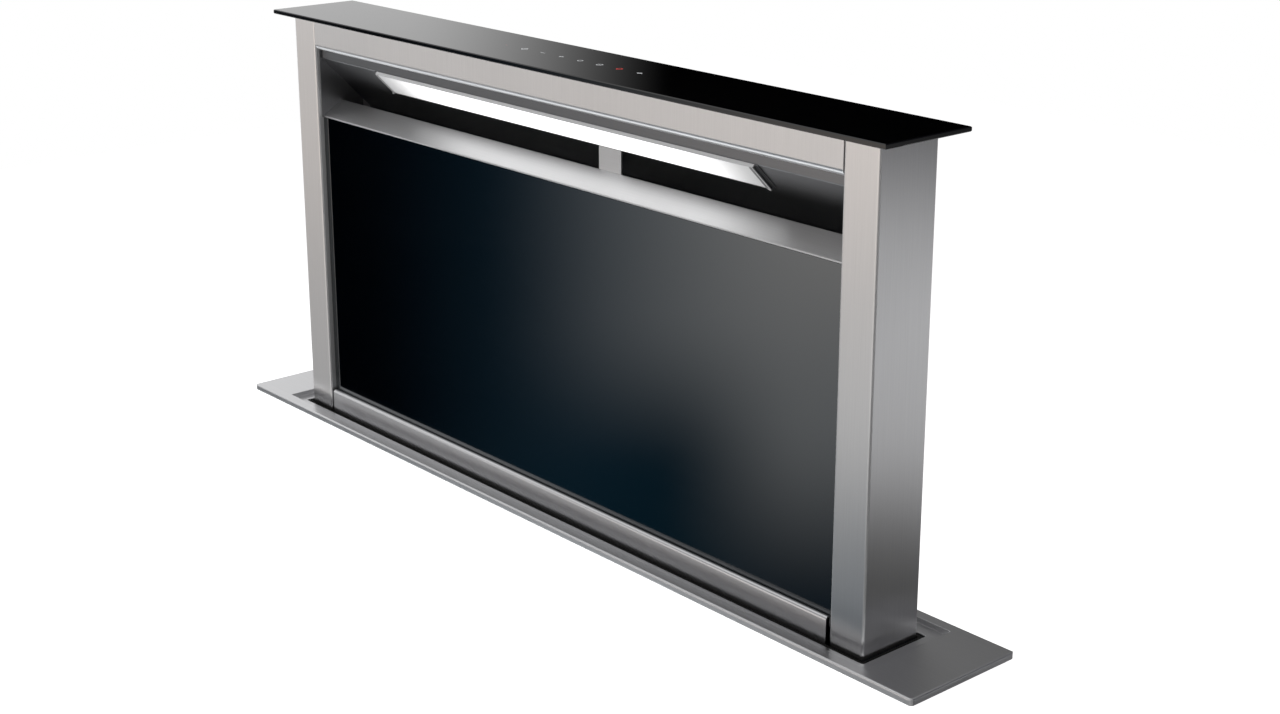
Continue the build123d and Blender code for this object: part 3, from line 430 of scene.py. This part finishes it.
# ---- brackets and clamps ----
# Zinc-coated angles: two at the foot of the housing, four near its head.
# A long screw with a pad on its tip presses each upper angle down from the underside of the worktop.
finish(housing_zinc, "foot_brackets", "clamp_brackets")
clamp_low, clamp_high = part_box("clamp_brackets")
clamp_screw_radius = 0.003
clamp_thread_pitch = 0.00125
clamp_thread_depth = 0.00045
clamp_screw_foot = -0.104
worktop_underside = -0.038
clamp_pad = {"Head Radius": 0.009, "Head Height": 0.004, "Recess Depth": 0.0002, "Sides": 24}
clamp_nut = {"Head Radius": 0.0058, "Head Height": 0.005, "Recess Depth": 0.0001, "Sides": 6}
clamp_head = {**clamp_nut, "Recess Depth": 0.002}
clamp_from_edge = 0.0115
clamp_from_end = 0.02


def threaded_rod(name, places, radius, depth, pitch, low, high, material, body):
    """Upright rods whose surface is one helical ridge."""
    round_steps, rise_steps = 12, 4
    points, faces = [], []
    rows = round((high - low) / pitch * rise_steps)
    for x, y in places:
        first = len(points)
        for row in range(rows + 1):
            z = low + (high - low) * row / rows
            for k in range(round_steps):
                angle = 2 * math.pi * k / round_steps
                ridge = abs(((z / pitch - k / round_steps) % 1.0) - 0.5) * 2
                r = radius - depth * ridge
                points.append((x + r * math.cos(angle), y + r * math.sin(angle), z))
        for row in range(rows):
            for k in range(round_steps):
                a = first + row * round_steps + k
                b = first + row * round_steps + (k + 1) % round_steps
                faces.append((a, b, b + round_steps, a + round_steps))
        faces.append([first + k for k in reversed(range(round_steps))])
        faces.append([first + rows * round_steps + k for k in range(round_steps)])
    mesh = bpy.data.meshes.new(name)
    mesh.from_pydata(points, [], faces)
    mesh.materials.append(material)
    rod = bpy.data.objects.new(name, mesh)
    bpy.context.scene.collection.objects.link(rod)
    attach(rod, body)


clamp_places = [(x, y) for x in (clamp_low.x + clamp_from_end, clamp_high.x - clamp_from_end)
                for y in (clamp_low.y + clamp_from_edge, clamp_high.y - clamp_from_edge)]
pad_height = clamp_pad["Head Height"]
threaded_rod("clamp_screws", clamp_places, clamp_screw_radius, clamp_thread_depth, clamp_thread_pitch,
             clamp_screw_foot, worktop_underside - pad_height / 2, screw_steel, "housing")
fasteners("clamp_pads", [((x, y, worktop_underside - pad_height), (0, 0, 1)) for x, y in clamp_places],
          clamp_pad, screw_steel, "housing")
fasteners("clamp_nuts", [((x, y, clamp_high.z), (0, 0, 1)) for x, y in clamp_places],
          clamp_nut, screw_steel, "housing")
fasteners("clamp_heads", [((x, y, clamp_screw_foot), (0, 0, -1)) for x, y in clamp_places],
          clamp_head, screw_steel, "housing")

# ---- blower ----
# A scroll of zinc-coated sheet whose flat cover is locked on by a rolled seam.
# Inside it runs a moulded black wheel, on the shaft of the motor that is bolted to the cover.
seam_radius = 0.0016
seam_sides = 8
seam_merge_distance = 0.00001
seam_sharp_angle = 1.0
seam_depth_margin = 0.0004
cover_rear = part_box("scroll_cover")[1].y
blower_zinc = zinc_sheet("blower_zinc", scale=120.0, dark=(0.44, 0.46, 0.48), light=(0.62, 0.64, 0.66))
finish(blower_zinc, "blower_scroll", "scroll_cover", "inlet_ring")


def seam_tree():
    """A round bead along the sharp edges of a sheet that lie at one depth."""
    inputs = {"Geometry": "Geometry", "Bead Radius": "Float", "Depth": "Float", "Material": "Material"}
    tree, given = node_group("rolled_seam", inputs, {"Geometry": "Geometry"}, "GeometryNodeTree")
    whole = add(tree, "GeometryNodeMergeByDistance",
                {"Geometry": given.outputs["Geometry"], "Distance": seam_merge_distance})
    angle = add(tree, "GeometryNodeInputMeshEdgeAngle")
    sharp = add(tree, "FunctionNodeCompare", {0: angle.outputs[0], 1: seam_sharp_angle},
                operation="GREATER_THAN")
    place = add(tree, "ShaderNodeSeparateXYZ", {0: add(tree, "GeometryNodeInputPosition").outputs[0]})
    level = add(tree, "FunctionNodeCompare",
                {0: place.outputs["Y"], 1: given.outputs["Depth"], "Epsilon": seam_depth_margin},
                operation="EQUAL")
    outer = add(tree, "FunctionNodeBooleanMath", {0: sharp.outputs[0], 1: level.outputs[0]})
    line = add(tree, "GeometryNodeMeshToCurve", {"Mesh": whole.outputs[0], "Selection": outer.outputs[0]})
    ring = add(tree, "GeometryNodeCurvePrimitiveCircle",
               {"Resolution": seam_sides, "Radius": given.outputs["Bead Radius"]})
    bead = add(tree, "GeometryNodeCurveToMesh",
               {"Curve": line.outputs[0], "Profile Curve": ring.outputs[0], "Fill Caps": True})
    solid = add(tree, "GeometryNodeRealizeInstances", {"Geometry": bead.outputs[0]})
    coated = add(tree, "GeometryNodeSetMaterial",
                 {"Geometry": solid.outputs[0], "Material": given.outputs["Material"]})
    add(tree, "NodeGroupOutput", {"Geometry": coated.outputs[0]})
    return tree


grown_piece("cover_seam", nodes["scroll_cover"].data.copy(), seam_tree(),
            {"Bead Radius": seam_radius, "Depth": cover_rear, "Material": blower_zinc},
            "housing")


def moulded(name, dark, light, roughness, scale, depth, **inputs):
    """Moulded plastic, rubber or cast metal: an even fine grain and a slight change of tone."""
    material, tree, shader, place = new_material(name, **inputs)
    grain = add(tree, "ShaderNodeTexNoise", {"Vector": place, "Scale": scale, "Detail": 3.0}).outputs["Fac"]
    cloud = add(tree, "ShaderNodeTexNoise", {"Vector": place, "Scale": 12.0, "Detail": 3.0}).outputs["Fac"]
    tree.links.new(shade_between(tree, cloud, dark, light), shader.inputs["Base Color"])
    tree.links.new(spread(tree, cloud, *roughness), shader.inputs["Roughness"])
    bump = add(tree, "ShaderNodeBump", {"Strength": 0.35, "Distance": depth, "Height": grain})
    tree.links.new(bump.outputs[0], shader.inputs["Normal"])
    return material


moulded_black = moulded("moulded_black", dark=(0.014, 0.014, 0.015), light=(0.026, 0.026, 0.028),
                        roughness=(0.38, 0.5), scale=700.0, depth=0.0003)
finish(moulded_black, "impeller")
finish(rack_steel, "impeller_shaft")
cast_metal = moulded("cast_metal", dark=(0.30, 0.30, 0.31), light=(0.42, 0.42, 0.43),
                     roughness=(0.42, 0.55), scale=450.0, depth=0.0006, Metallic=0.9)
finish(cast_metal, "fan_motor")
motor_low, motor_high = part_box("fan_motor")
motor_x, motor_z = (motor_low.x + motor_high.x) / 2, (motor_low.z + motor_high.z) / 2
can_radius = 0.046
can_plate = 0.003
fin_count = 30
fin_depth = 0.005
fin_thick = 0.0018
fin_middle_out = 0.3 * fin_depth
motor_screw = {"Head Radius": 0.0045, "Head Height": 0.003, "Recess Depth": 0.0016, "Sides": 6}
motor_screw_inset = 0.007


def fin_tree():
    """Cooling fins round a can that lies along Y."""
    inputs = {"Geometry": "Geometry", "Fin Count": "Int", "Can Radius": "Float", "Fin Depth": "Float",
              "Fin Thickness": "Float", "Fin Length": "Float", "Place": "Vector", "Material": "Material"}
    tree, given = node_group("can_fins", inputs, {"Geometry": "Geometry"}, "GeometryNodeTree")
    ring = add(tree, "GeometryNodeMeshCircle",
               {"Vertices": given.outputs["Fin Count"], "Radius": given.outputs["Can Radius"]})
    size = add(tree, "ShaderNodeCombineXYZ",
               {"X": given.outputs["Fin Depth"], "Y": given.outputs["Fin Thickness"],
                "Z": given.outputs["Fin Length"]})
    fin = add(tree, "GeometryNodeMeshCube", {"Size": size.outputs[0]})
    outward = add(tree, "FunctionNodeAlignRotationToVector",
                  {"Vector": add(tree, "GeometryNodeInputPosition").outputs[0]}, axis="X")
    placed = add(tree, "GeometryNodeInstanceOnPoints",
                 {"Points": ring.outputs[0], "Instance": fin.outputs["Mesh"], "Rotation": outward.outputs[0]})
    solid = add(tree, "GeometryNodeRealizeInstances", {"Geometry": placed.outputs[0]})
    laid = add(tree, "GeometryNodeTransform",
               {"Geometry": solid.outputs[0], "Translation": given.outputs["Place"],
                "Rotation": (math.pi / 2, 0, 0)})
    coated = add(tree, "GeometryNodeSetMaterial",
                 {"Geometry": laid.outputs[0], "Material": given.outputs["Material"]})
    add(tree, "NodeGroupOutput", {"Geometry": coated.outputs[0]})
    return tree


fin_length = motor_high.y - motor_low.y - 2 * can_plate
fin_place = (motor_x, motor_low.y + fin_length / 2 + can_plate / 2, motor_z)
grown_piece("motor_fins", bpy.data.meshes.new("motor_fins"), fin_tree(),
            {"Fin Count": fin_count, "Can Radius": can_radius + fin_middle_out, "Fin Depth": fin_depth,
             "Fin Thickness": fin_thick, "Fin Length": fin_length, "Place": fin_place,
             "Material": cast_metal}, "housing")
motor_corners = [((x, motor_high.y - can_plate, z), (0, -1, 0))
                 for x in (motor_low.x + motor_screw_inset, motor_high.x - motor_screw_inset)
                 for z in (motor_low.z + motor_screw_inset, motor_high.z - motor_screw_inset)]
fasteners("motor_screws", motor_corners, motor_screw, screw_steel, "housing")

# ---- duct collar ----
# A moulded black spigot whose square plate is screwed over the scroll's outlet.
# Two half discs hang on a steel pin across its bore.
finish(moulded_black, "duct_collar", "damper_flap_rear", "damper_flap_front")
finish(rack_steel, "damper_pin")
collar_low, collar_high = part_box("duct_collar")
collar_plate = 0.0025
collar_screw = {"Head Radius": 0.0036, "Head Height": 0.0024, "Recess Depth": 0.0014, "Sides": 12}
collar_screw_inset = 0.008
collar_corners = [((collar_low.x + collar_plate, y, z), (1, 0, 0))
                  for y in (collar_low.y + collar_screw_inset, collar_high.y - collar_screw_inset)
                  for z in (collar_low.z + collar_screw_inset, collar_high.z - collar_screw_inset)]
fasteners("collar_screws", collar_corners, collar_screw, screw_steel, "housing")

# ---- control box ----
# A moulded grey box on the front of the housing, with its board inside and a cable gland in its floor.
# The lid is held by a screw near each corner.
moulded_grey = moulded("moulded_grey", dark=(0.23, 0.24, 0.25), light=(0.28, 0.29, 0.30),
                       roughness=(0.4, 0.5), scale=500.0, depth=0.0004)
finish(moulded_grey, "control_base", "control_lid")
finish(moulded_black, "cable_gland")
lid_low, lid_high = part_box("control_lid")
lid_screw = {"Head Radius": 0.0034, "Head Height": 0.002, "Recess Depth": 0.0013, "Sides": 12}
lid_screw_inset = 0.009
lid_corners = [((x, lid_low.y, z), (0, -1, 0))
               for x in (lid_low.x + lid_screw_inset, lid_high.x - lid_screw_inset)
               for z in (lid_low.z + lid_screw_inset, lid_high.z - lid_screw_inset)]
fasteners("lid_screws", lid_corners, lid_screw, screw_steel, "housing")
board_green = moulded("board_green", dark=(0.01, 0.08, 0.03), light=(0.02, 0.13, 0.05),
                      roughness=(0.3, 0.5), scale=300.0, depth=0.0002)
finish(board_green, "control_circuit")

# ---- flange ----
# The rim that rests on the worktop: pressed stainless steel, brushed along its length.
# Its sunk pocket takes the glass lid when the column is down.
flange_grain = (14.0, 2600.0, 2600.0)


def brushed_lines():
    """Fine lines of a brushed finish, and the broad faint patches left by wiping."""
    tree, given = node_group("brushed_lines", {"Vector": "Vector", "Stretch": "Vector"},
                             {"Lines": "Float", "Patches": "Float"})
    drawn = add(tree, "ShaderNodeVectorMath", {0: given.outputs["Vector"], 1: given.outputs["Stretch"]},
                operation="MULTIPLY")
    lines = add(tree, "ShaderNodeTexNoise",
                {"Vector": drawn.outputs[0], "Scale": 1.0, "Detail": 4.0, "Roughness": 0.65})
    patches = add(tree, "ShaderNodeTexNoise", {"Vector": given.outputs["Vector"], "Scale": 9.0, "Detail": 1.0})
    add(tree, "NodeGroupOutput", {"Lines": lines.outputs["Fac"], "Patches": patches.outputs["Fac"]})
    return tree


grain_lines = brushed_lines()


def brushed(name, stretch, dark, light, roughness, rounding, along="Z", spread_sideways=0.6):
    """Brushed steel: its grain runs the way the stretch is least, and its gloss spreads across it."""
    material, tree, steel, place = new_material(name, Metallic=1.0, Anisotropic=spread_sideways)
    grain = add(tree, "ShaderNodeGroup", {"Vector": place, "Stretch": stretch}, node_tree=grain_lines)
    lines, patches = grain.outputs["Lines"], grain.outputs["Patches"]
    tree.links.new(shade_between(tree, lines, dark, light), steel.inputs["Base Color"])
    tree.links.new(spread(tree, patches, *roughness, start=0.2, end=0.8), steel.inputs["Roughness"])
    rounded = add(tree, "ShaderNodeBevel", {"Radius": rounding}, samples=4)
    bump = add(tree, "ShaderNodeBump",
               {"Strength": 0.12, "Distance": 0.0002, "Height": lines, "Normal": rounded.outputs[0]})
    tree.links.new(bump.outputs[0], steel.inputs["Normal"])
    across = add(tree, "ShaderNodeTangent", direction_type="RADIAL", axis=along)
    tree.links.new(across.outputs[0], steel.inputs["Tangent"])
    return material


# on flange and posts, a roughness that crosses 0.274 left faint rings in the picture
flange_steel = brushed("flange_steel", flange_grain, dark=(0.54, 0.54, 0.55), light=(0.68, 0.68, 0.69),
                       roughness=(0.278, 0.3), rounding=0.0012, along="X", spread_sideways=0.2)
finish(flange_steel, "flange_frame")

# ---- slot seal ----
# Black rubber strips under the flange's ledge: they wipe the column and close the slot round it.
seal_rubber = moulded("seal_rubber", dark=(0.0015, 0.0015, 0.0015), light=(0.004, 0.004, 0.004),
                      roughness=(0.7, 0.85), scale=900.0, depth=0.0002, Specular_IOR_Level=0.15)
finish(seal_rubber, "slot_seal")

# ---- carriage and drive ----
# Under the posts: plates with bearing blocks, nylon shoes in the guide channels, and a worm gear motor.
# It turns the cross shaft, whose pinions climb the racks.
carriage_zinc = zinc_sheet("carriage_zinc", scale=160.0, dark=(0.44, 0.46, 0.48), light=(0.62, 0.64, 0.66))
finish(carriage_zinc, "carriage_beams", "end_plates", "motor_bracket")
nylon = moulded("nylon", dark=(0.62, 0.61, 0.57), light=(0.72, 0.71, 0.67), roughness=(0.35, 0.45),
                scale=400.0, depth=0.0002)
finish(nylon, "glide_shoes")
finish(cast_metal, "shaft_bearings", "gear_motor")
finish(rack_steel, "cross_shaft", "pinions")
gear_low, gear_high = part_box("gear_motor")
gearbox_height = 0.042
gear_bolt = {"Head Radius": 0.0032, "Head Height": 0.0022, "Recess Depth": 0.0014, "Sides": 6}
gear_bolt_inset = 0.0065
gear_bolts = [((x, gear_high.y, z), (0, 1, 0))
              for x in (gear_low.x + gear_bolt_inset, gear_high.x - gear_bolt_inset)
              for z in (gear_high.z - gearbox_height + gear_bolt_inset, gear_high.z - gear_bolt_inset)]
fasteners("gearbox_bolts", gear_bolts, gear_bolt, screw_steel, "column")

# ---- posts and back panel ----
# Square stainless tubes at both ends of the column, brushed from foot to head.
# The back panel's folded edges are riveted to them.
post_grain = (2600.0, 2600.0, 14.0)
post_steel = brushed("post_steel", post_grain, dark=(0.60, 0.60, 0.605), light=(0.74, 0.74, 0.745),
                     roughness=(0.278, 0.296), rounding=0.0008, spread_sideways=1.0)
finish(post_steel, "post_left", "post_right")
back_steel = brushed("back_steel", post_grain, dark=(0.50, 0.50, 0.51), light=(0.64, 0.64, 0.65),
                     roughness=(0.34, 0.42), rounding=0.0006)
finish(back_steel, "back_panel")
back_low, back_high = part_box("back_panel")
back_rivet = {"Head Radius": 0.0028, "Head Height": 0.0012, "Recess Depth": 0.0001, "Sides": 12}
back_rivet_inset = 0.006
back_rivet_pitch = 0.075
back_rivet_heights = steps(back_low.z + 2 * back_rivet_inset, back_high.z - 2 * back_rivet_inset,
                           back_rivet_pitch)
back_rivets = [((x, back_high.y, z), (0, 1, 0))
               for x in (back_low.x + back_rivet_inset, back_high.x - back_rivet_inset)
               for z in back_rivet_heights]
fasteners("back_rivets", back_rivets, back_rivet, screw_steel, "column")

# ---- bottom rail ----
# A rolled stainless rail under the glass, with a shelf that carries the glass panel.
rail_steel = brushed("rail_steel", flange_grain, dark=(0.52, 0.52, 0.53), light=(0.66, 0.66, 0.67),
                     roughness=(0.278, 0.286), rounding=0.0006, along="X", spread_sideways=0.2)
finish(rail_steel, "bottom_rail")

# ---- grease filters ----
# Three aluminium cassettes: a folded rim round pleated expanded metal.
# They stand in a channel and lean on an angle, both of zinc-coated sheet.
strand_lean = 0.55
strand_scale = 110.0


def expanded_metal(name):
    """Aluminium mesh with small diamond openings in staggered rows; the openings are painted near black, as
    painted shade for the dark seen through them.
    """
    material, tree, shader, place = new_material(name, Metallic=1.0)
    bands = []
    for lean in (strand_lean, -strand_lean):
        turned = add(tree, "ShaderNodeMapping", {"Vector": place, "Rotation": (0.0, lean, 0.0)})
        wave = add(tree, "ShaderNodeTexWave", {"Vector": turned.outputs[0], "Scale": strand_scale},
                   bands_direction="X")
        bands.append(wave.outputs["Fac"])
    mask = spread(tree, compute(tree, "MAXIMUM", *bands), low=0.0, high=1.0, start=0.55, end=0.8)
    # painted shade: between the strands the colour is near black, for the dark seen through the openings
    shade = shade_between(tree, mask, dark=(0.03, 0.03, 0.03), light=(0.78, 0.78, 0.79))
    tree.links.new(shade, shader.inputs["Base Color"])
    rough = spread(tree, mask, low=0.8, high=0.35, start=0.0, end=1.0)
    tree.links.new(rough, shader.inputs["Roughness"])
    bump = add(tree, "ShaderNodeBump", {"Strength": 0.6, "Distance": 0.0006, "Height": mask})
    tree.links.new(bump.outputs[0], shader.inputs["Normal"])
    return material


finish(expanded_metal("expanded_metal"), "grease_filter_left", "grease_filter_middle", "grease_filter_right")
finish(carriage_zinc, "filter_rail_low", "filter_rail_high")

# ---- air slot ----
# The deflector turns the air down behind the sill, between two cheeks. A stay joins it to the sill.
# All are stainless sheet. The cheeks and, darkest of all, the deflector have their steel colour darkened:
# painted shade of the slot's inside, which is all the deflector sees.
slot_steel = brushed("slot_steel", flange_grain, dark=(0.52, 0.52, 0.525), light=(0.65, 0.65, 0.655),
                     roughness=(0.37, 0.43), rounding=0.0006, along="X", spread_sideways=0.3)
finish(slot_steel, "sill", "centre_stay")
# painted shade: the cheeks' stainless colour is darkened for the shade inside the slot
cheek_steel_painted_shade = brushed("cheek_steel_painted_shade", post_grain, dark=(0.22, 0.22, 0.23), light=(0.32, 0.32, 0.33),
                      roughness=(0.26, 0.34), rounding=0.0005)
finish(cheek_steel_painted_shade, "recess_cheeks")
# painted shade: the deflector's stainless colour is darkened further for the shade deep in the slot
deflector_steel = brushed("deflector_steel", flange_grain, dark=(0.15, 0.15, 0.155),
                          light=(0.23, 0.23, 0.235), roughness=(0.30, 0.36), rounding=0.0010,
                          along="X", spread_sideways=0.3)
finish(deflector_steel, "deflector")

# ---- light bar ----
# An opal strip snapped into an aluminium channel under the deflector, over a strip of LEDs.
# It glows evenly, and fades over a tenth of a metre at each end.
channel_aluminium = brushed("channel_aluminium", flange_grain, dark=(0.66, 0.66, 0.66),
                            light=(0.82, 0.82, 0.82), roughness=(0.3, 0.4), rounding=0.0003, along="X")
finish(channel_aluminium, "light_housing")
# the clips take the deflector's darkened steel colour: painted shade
finish(deflector_steel, "light_clips")
finish(board_green, "led_board")
spring_radius = 0.0008
spring_proud = 0.0006
spring_hook = 0.0035
light_fade = 0.1


def bent_wire(name, points, radius, material, body):
    """A round wire with soft bends through a few points."""
    line = bpy.data.curves.new(name, "CURVE")
    line.dimensions = "3D"
    line.bevel_depth = radius
    line.bevel_resolution = 3
    line.use_fill_caps = True
    spline = line.splines.new("NURBS")
    spline.points.add(len(points) - 1)
    for point, place in zip(spline.points, points):
        point.co = (*place, 1.0)
    spline.order_u = 3
    spline.use_endpoint_u = True
    shape = bpy.data.objects.new(name + "_line", line)
    bpy.context.scene.collection.objects.link(shape)
    mesh = bpy.data.meshes.new_from_object(shape.evaluated_get(bpy.context.evaluated_depsgraph_get()))
    bpy.data.objects.remove(shape)
    mesh.materials.clear()
    mesh.materials.append(material)
    wire = bpy.data.objects.new(name, mesh)
    bpy.context.scene.collection.objects.link(wire)
    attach(wire, body)


# the wire springs lie across the ends of the opal strip and hook round its lower edge
strip_low, strip_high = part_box("light_diffuser")
for side, name in ((-1, "light_spring_left"), (1, "light_spring_right")):
    x = side * (strip_high.x - 2 * spring_radius)
    upper = Vector((x, strip_low.y - spring_proud, strip_high.z - spring_proud))
    lower = Vector((x, strip_high.y - spring_proud, strip_low.z - spring_proud))
    down = (lower - upper).normalized()
    bent_wire(name, [upper, upper.lerp(lower, 0.5), lower - down * spring_hook, lower + down * spring_radius,
                     lower + Vector((side * spring_hook, 0.0, 0.0)) + down * spring_radius],
              spring_radius, screw_steel, "column")
light_end = strip_high.x


def opal_strip():
    """Opal plastic, lit from behind, whose glow fades near both ends."""
    material, tree, shader, place = new_material("opal_strip", Roughness=0.35, Emission_Strength=1.5)
    along = add(tree, "ShaderNodeSeparateXYZ", {0: place}).outputs["X"]
    away = compute(tree, "ABSOLUTE", along)
    lit = add(tree, "ShaderNodeMapRange",
              {"Value": away, "From Min": light_end, "From Max": light_end - light_fade},
              interpolation_type="SMOOTHSTEP").outputs[0]
    glow = shade_between(tree, lit, dark=(0.1, 0.1, 0.1), light=(1.0, 1.0, 1.0))
    tree.links.new(glow, shader.inputs["Emission Color"])
    haze = add(tree, "ShaderNodeTexNoise", {"Vector": place, "Scale": 400.0}).outputs["Fac"]
    shade = shade_between(tree, haze, dark=(0.56, 0.56, 0.56), light=(0.62, 0.62, 0.62))
    tree.links.new(shade, shader.inputs["Base Color"])
    return material


finish(opal_strip(), "light_diffuser")

# ---- glass panel ----
# Tinted glass, painted black on its back and bonded to a steel tray that is painted black as well.
# Magnet catches on the posts hold the tray.
finish(moulded_black, "panel_frame")
finish(rack_steel, "panel_catches")
smear_stretch = (6.0, 6.0, 14.0)


def wiped_glass():
    """The faint smears that wiping leaves on glass, as a mask."""
    tree, given = node_group("wiped_glass", {"Vector": "Vector"}, {"Smears": "Float"})
    drawn = add(tree, "ShaderNodeVectorMath", {0: given.outputs["Vector"], 1: smear_stretch},
                operation="MULTIPLY")
    smear = add(tree, "ShaderNodeTexNoise",
                {"Vector": drawn.outputs[0], "Scale": 1.0, "Detail": 5.0, "Roughness": 0.6,
                 "Distortion": 0.8})
    add(tree, "NodeGroupOutput", {"Smears": smear.outputs["Fac"]})
    return tree


smears = wiped_glass()


def painted_glass(name, dark, light, roughness, **inputs):
    """Glass with paint behind it: a deep dark body under a clear face."""
    material, tree, shader, place = new_material(name, **inputs)
    mask = add(tree, "ShaderNodeGroup", {"Vector": place}, node_tree=smears).outputs["Smears"]
    tree.links.new(shade_between(tree, mask, dark, light), shader.inputs["Base Color"])
    tree.links.new(spread(tree, mask, *roughness), shader.inputs["Roughness"])
    return material, tree, shader, place


panel_glass = painted_glass("panel_glass", dark=(0.0002, 0.0004, 0.0009), light=(0.0004, 0.0008, 0.0016),
                            roughness=(0.04, 0.08), IOR=1.65, Specular_Tint=(0.8, 0.92, 1.0, 1.0),
                            Coat_Weight=1.0, Coat_IOR=1.6, Coat_Roughness=0.05)[0]
finish(panel_glass, "glass_panel")

# ---- fascia ----
# The stainless strip over the air slot. Its lower edge is rolled inwards.
fascia_steel = brushed("fascia_steel", post_grain, dark=(0.58, 0.58, 0.585), light=(0.72, 0.72, 0.725),
                       roughness=(0.3, 0.36), rounding=0.0006, spread_sideways=0.8)
finish(fascia_steel, "fascia")

# ---- glass lid ----
# Black-painted glass on a steel tray. Its polished bevels catch the light.
# The touch board is glued below it, and its keys show as small lit marks in one row.
finish(carriage_zinc, "top_tray")
finish(board_green, "touch_board")
lid_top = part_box("glass_top")[1].z
key_pitch = 0.025
mark_depth = 0.0015
mark_line = 0.0004
mark_pale = (0.55, 0.56, 0.58, 1.0)
mark_red = (0.75, 0.06, 0.05, 1.0)
unlit = (0.0, 0.0, 0.0, 1.0)
# each mark: ring radius, half width of its bar, half height of its upright bar, colour
marks = (
    (0.0, 0.0, 0.0, mark_red),
    (0.0026, 0.0, 0.0014, mark_pale),
    (0.0, 0.0030, 0.0, mark_pale),
    (0.0, 0.0030, 0.0024, mark_pale),
    (0.0022, 0.0, 0.0, mark_pale),
    (0.0026, 0.0014, 0.0, mark_pale),
    (0.0024, 0.0, 0.0, mark_red),
    (0.0016, 0.0034, 0.0, mark_pale),
)


def touch_mark():
    """A small line mark: a ring, a bar across and an upright bar, each of any size or none."""
    inputs = {"Vector": "Vector", "Place": "Vector", "Ring": "Float", "Across": "Float",
              "Upright": "Float", "Line": "Float"}
    tree, given = node_group("touch_mark", inputs, {"Mask": "Float"})
    line = given.outputs["Line"]
    local = add(tree, "ShaderNodeVectorMath", {0: given.outputs["Vector"], 1: given.outputs["Place"]},
                operation="SUBTRACT")
    split = add(tree, "ShaderNodeSeparateXYZ", {0: local.outputs[0]})
    flat = add(tree, "ShaderNodeCombineXYZ", {"X": split.outputs["X"], "Y": split.outputs["Y"]})
    away = add(tree, "ShaderNodeVectorMath", {0: flat.outputs[0]}, operation="LENGTH")
    mask = compute(tree, "COMPARE", away.outputs["Value"], given.outputs["Ring"], line)
    for wide, tall in ((given.outputs["Across"], line), (line, given.outputs["Upright"])):
        inside = [compute(tree, "COMPARE", split.outputs[axis], 0.0, reach)
                  for axis, reach in (("X", wide), ("Y", tall))]
        mask = compute(tree, "MAXIMUM", mask, compute(tree, "MULTIPLY", *inside))
    add(tree, "NodeGroupOutput", {"Mask": mask})
    return tree


lid_glass, tree, shader, place = painted_glass("lid_glass", dark=(0.0003, 0.0003, 0.0004),
                                               light=(0.0008, 0.0008, 0.0010), roughness=(0.03, 0.07),
                                               IOR=1.5, Emission_Strength=1.0)
mark_tree = touch_mark()
shown = unlit
for k, (ring, across, upright, colour) in enumerate(marks):
    where = ((k - (len(marks) - 1) / 2) * key_pitch, mark_depth, lid_top)
    mark = add(tree, "ShaderNodeGroup",
               {"Vector": place, "Place": where, "Ring": ring, "Across": across, "Upright": upright,
                "Line": mark_line}, node_tree=mark_tree)
    shown = mix_colours(tree, mark.outputs["Mask"], shown, colour)
tree.links.new(shown, shader.inputs["Emission Color"])
finish(lid_glass, "glass_top")
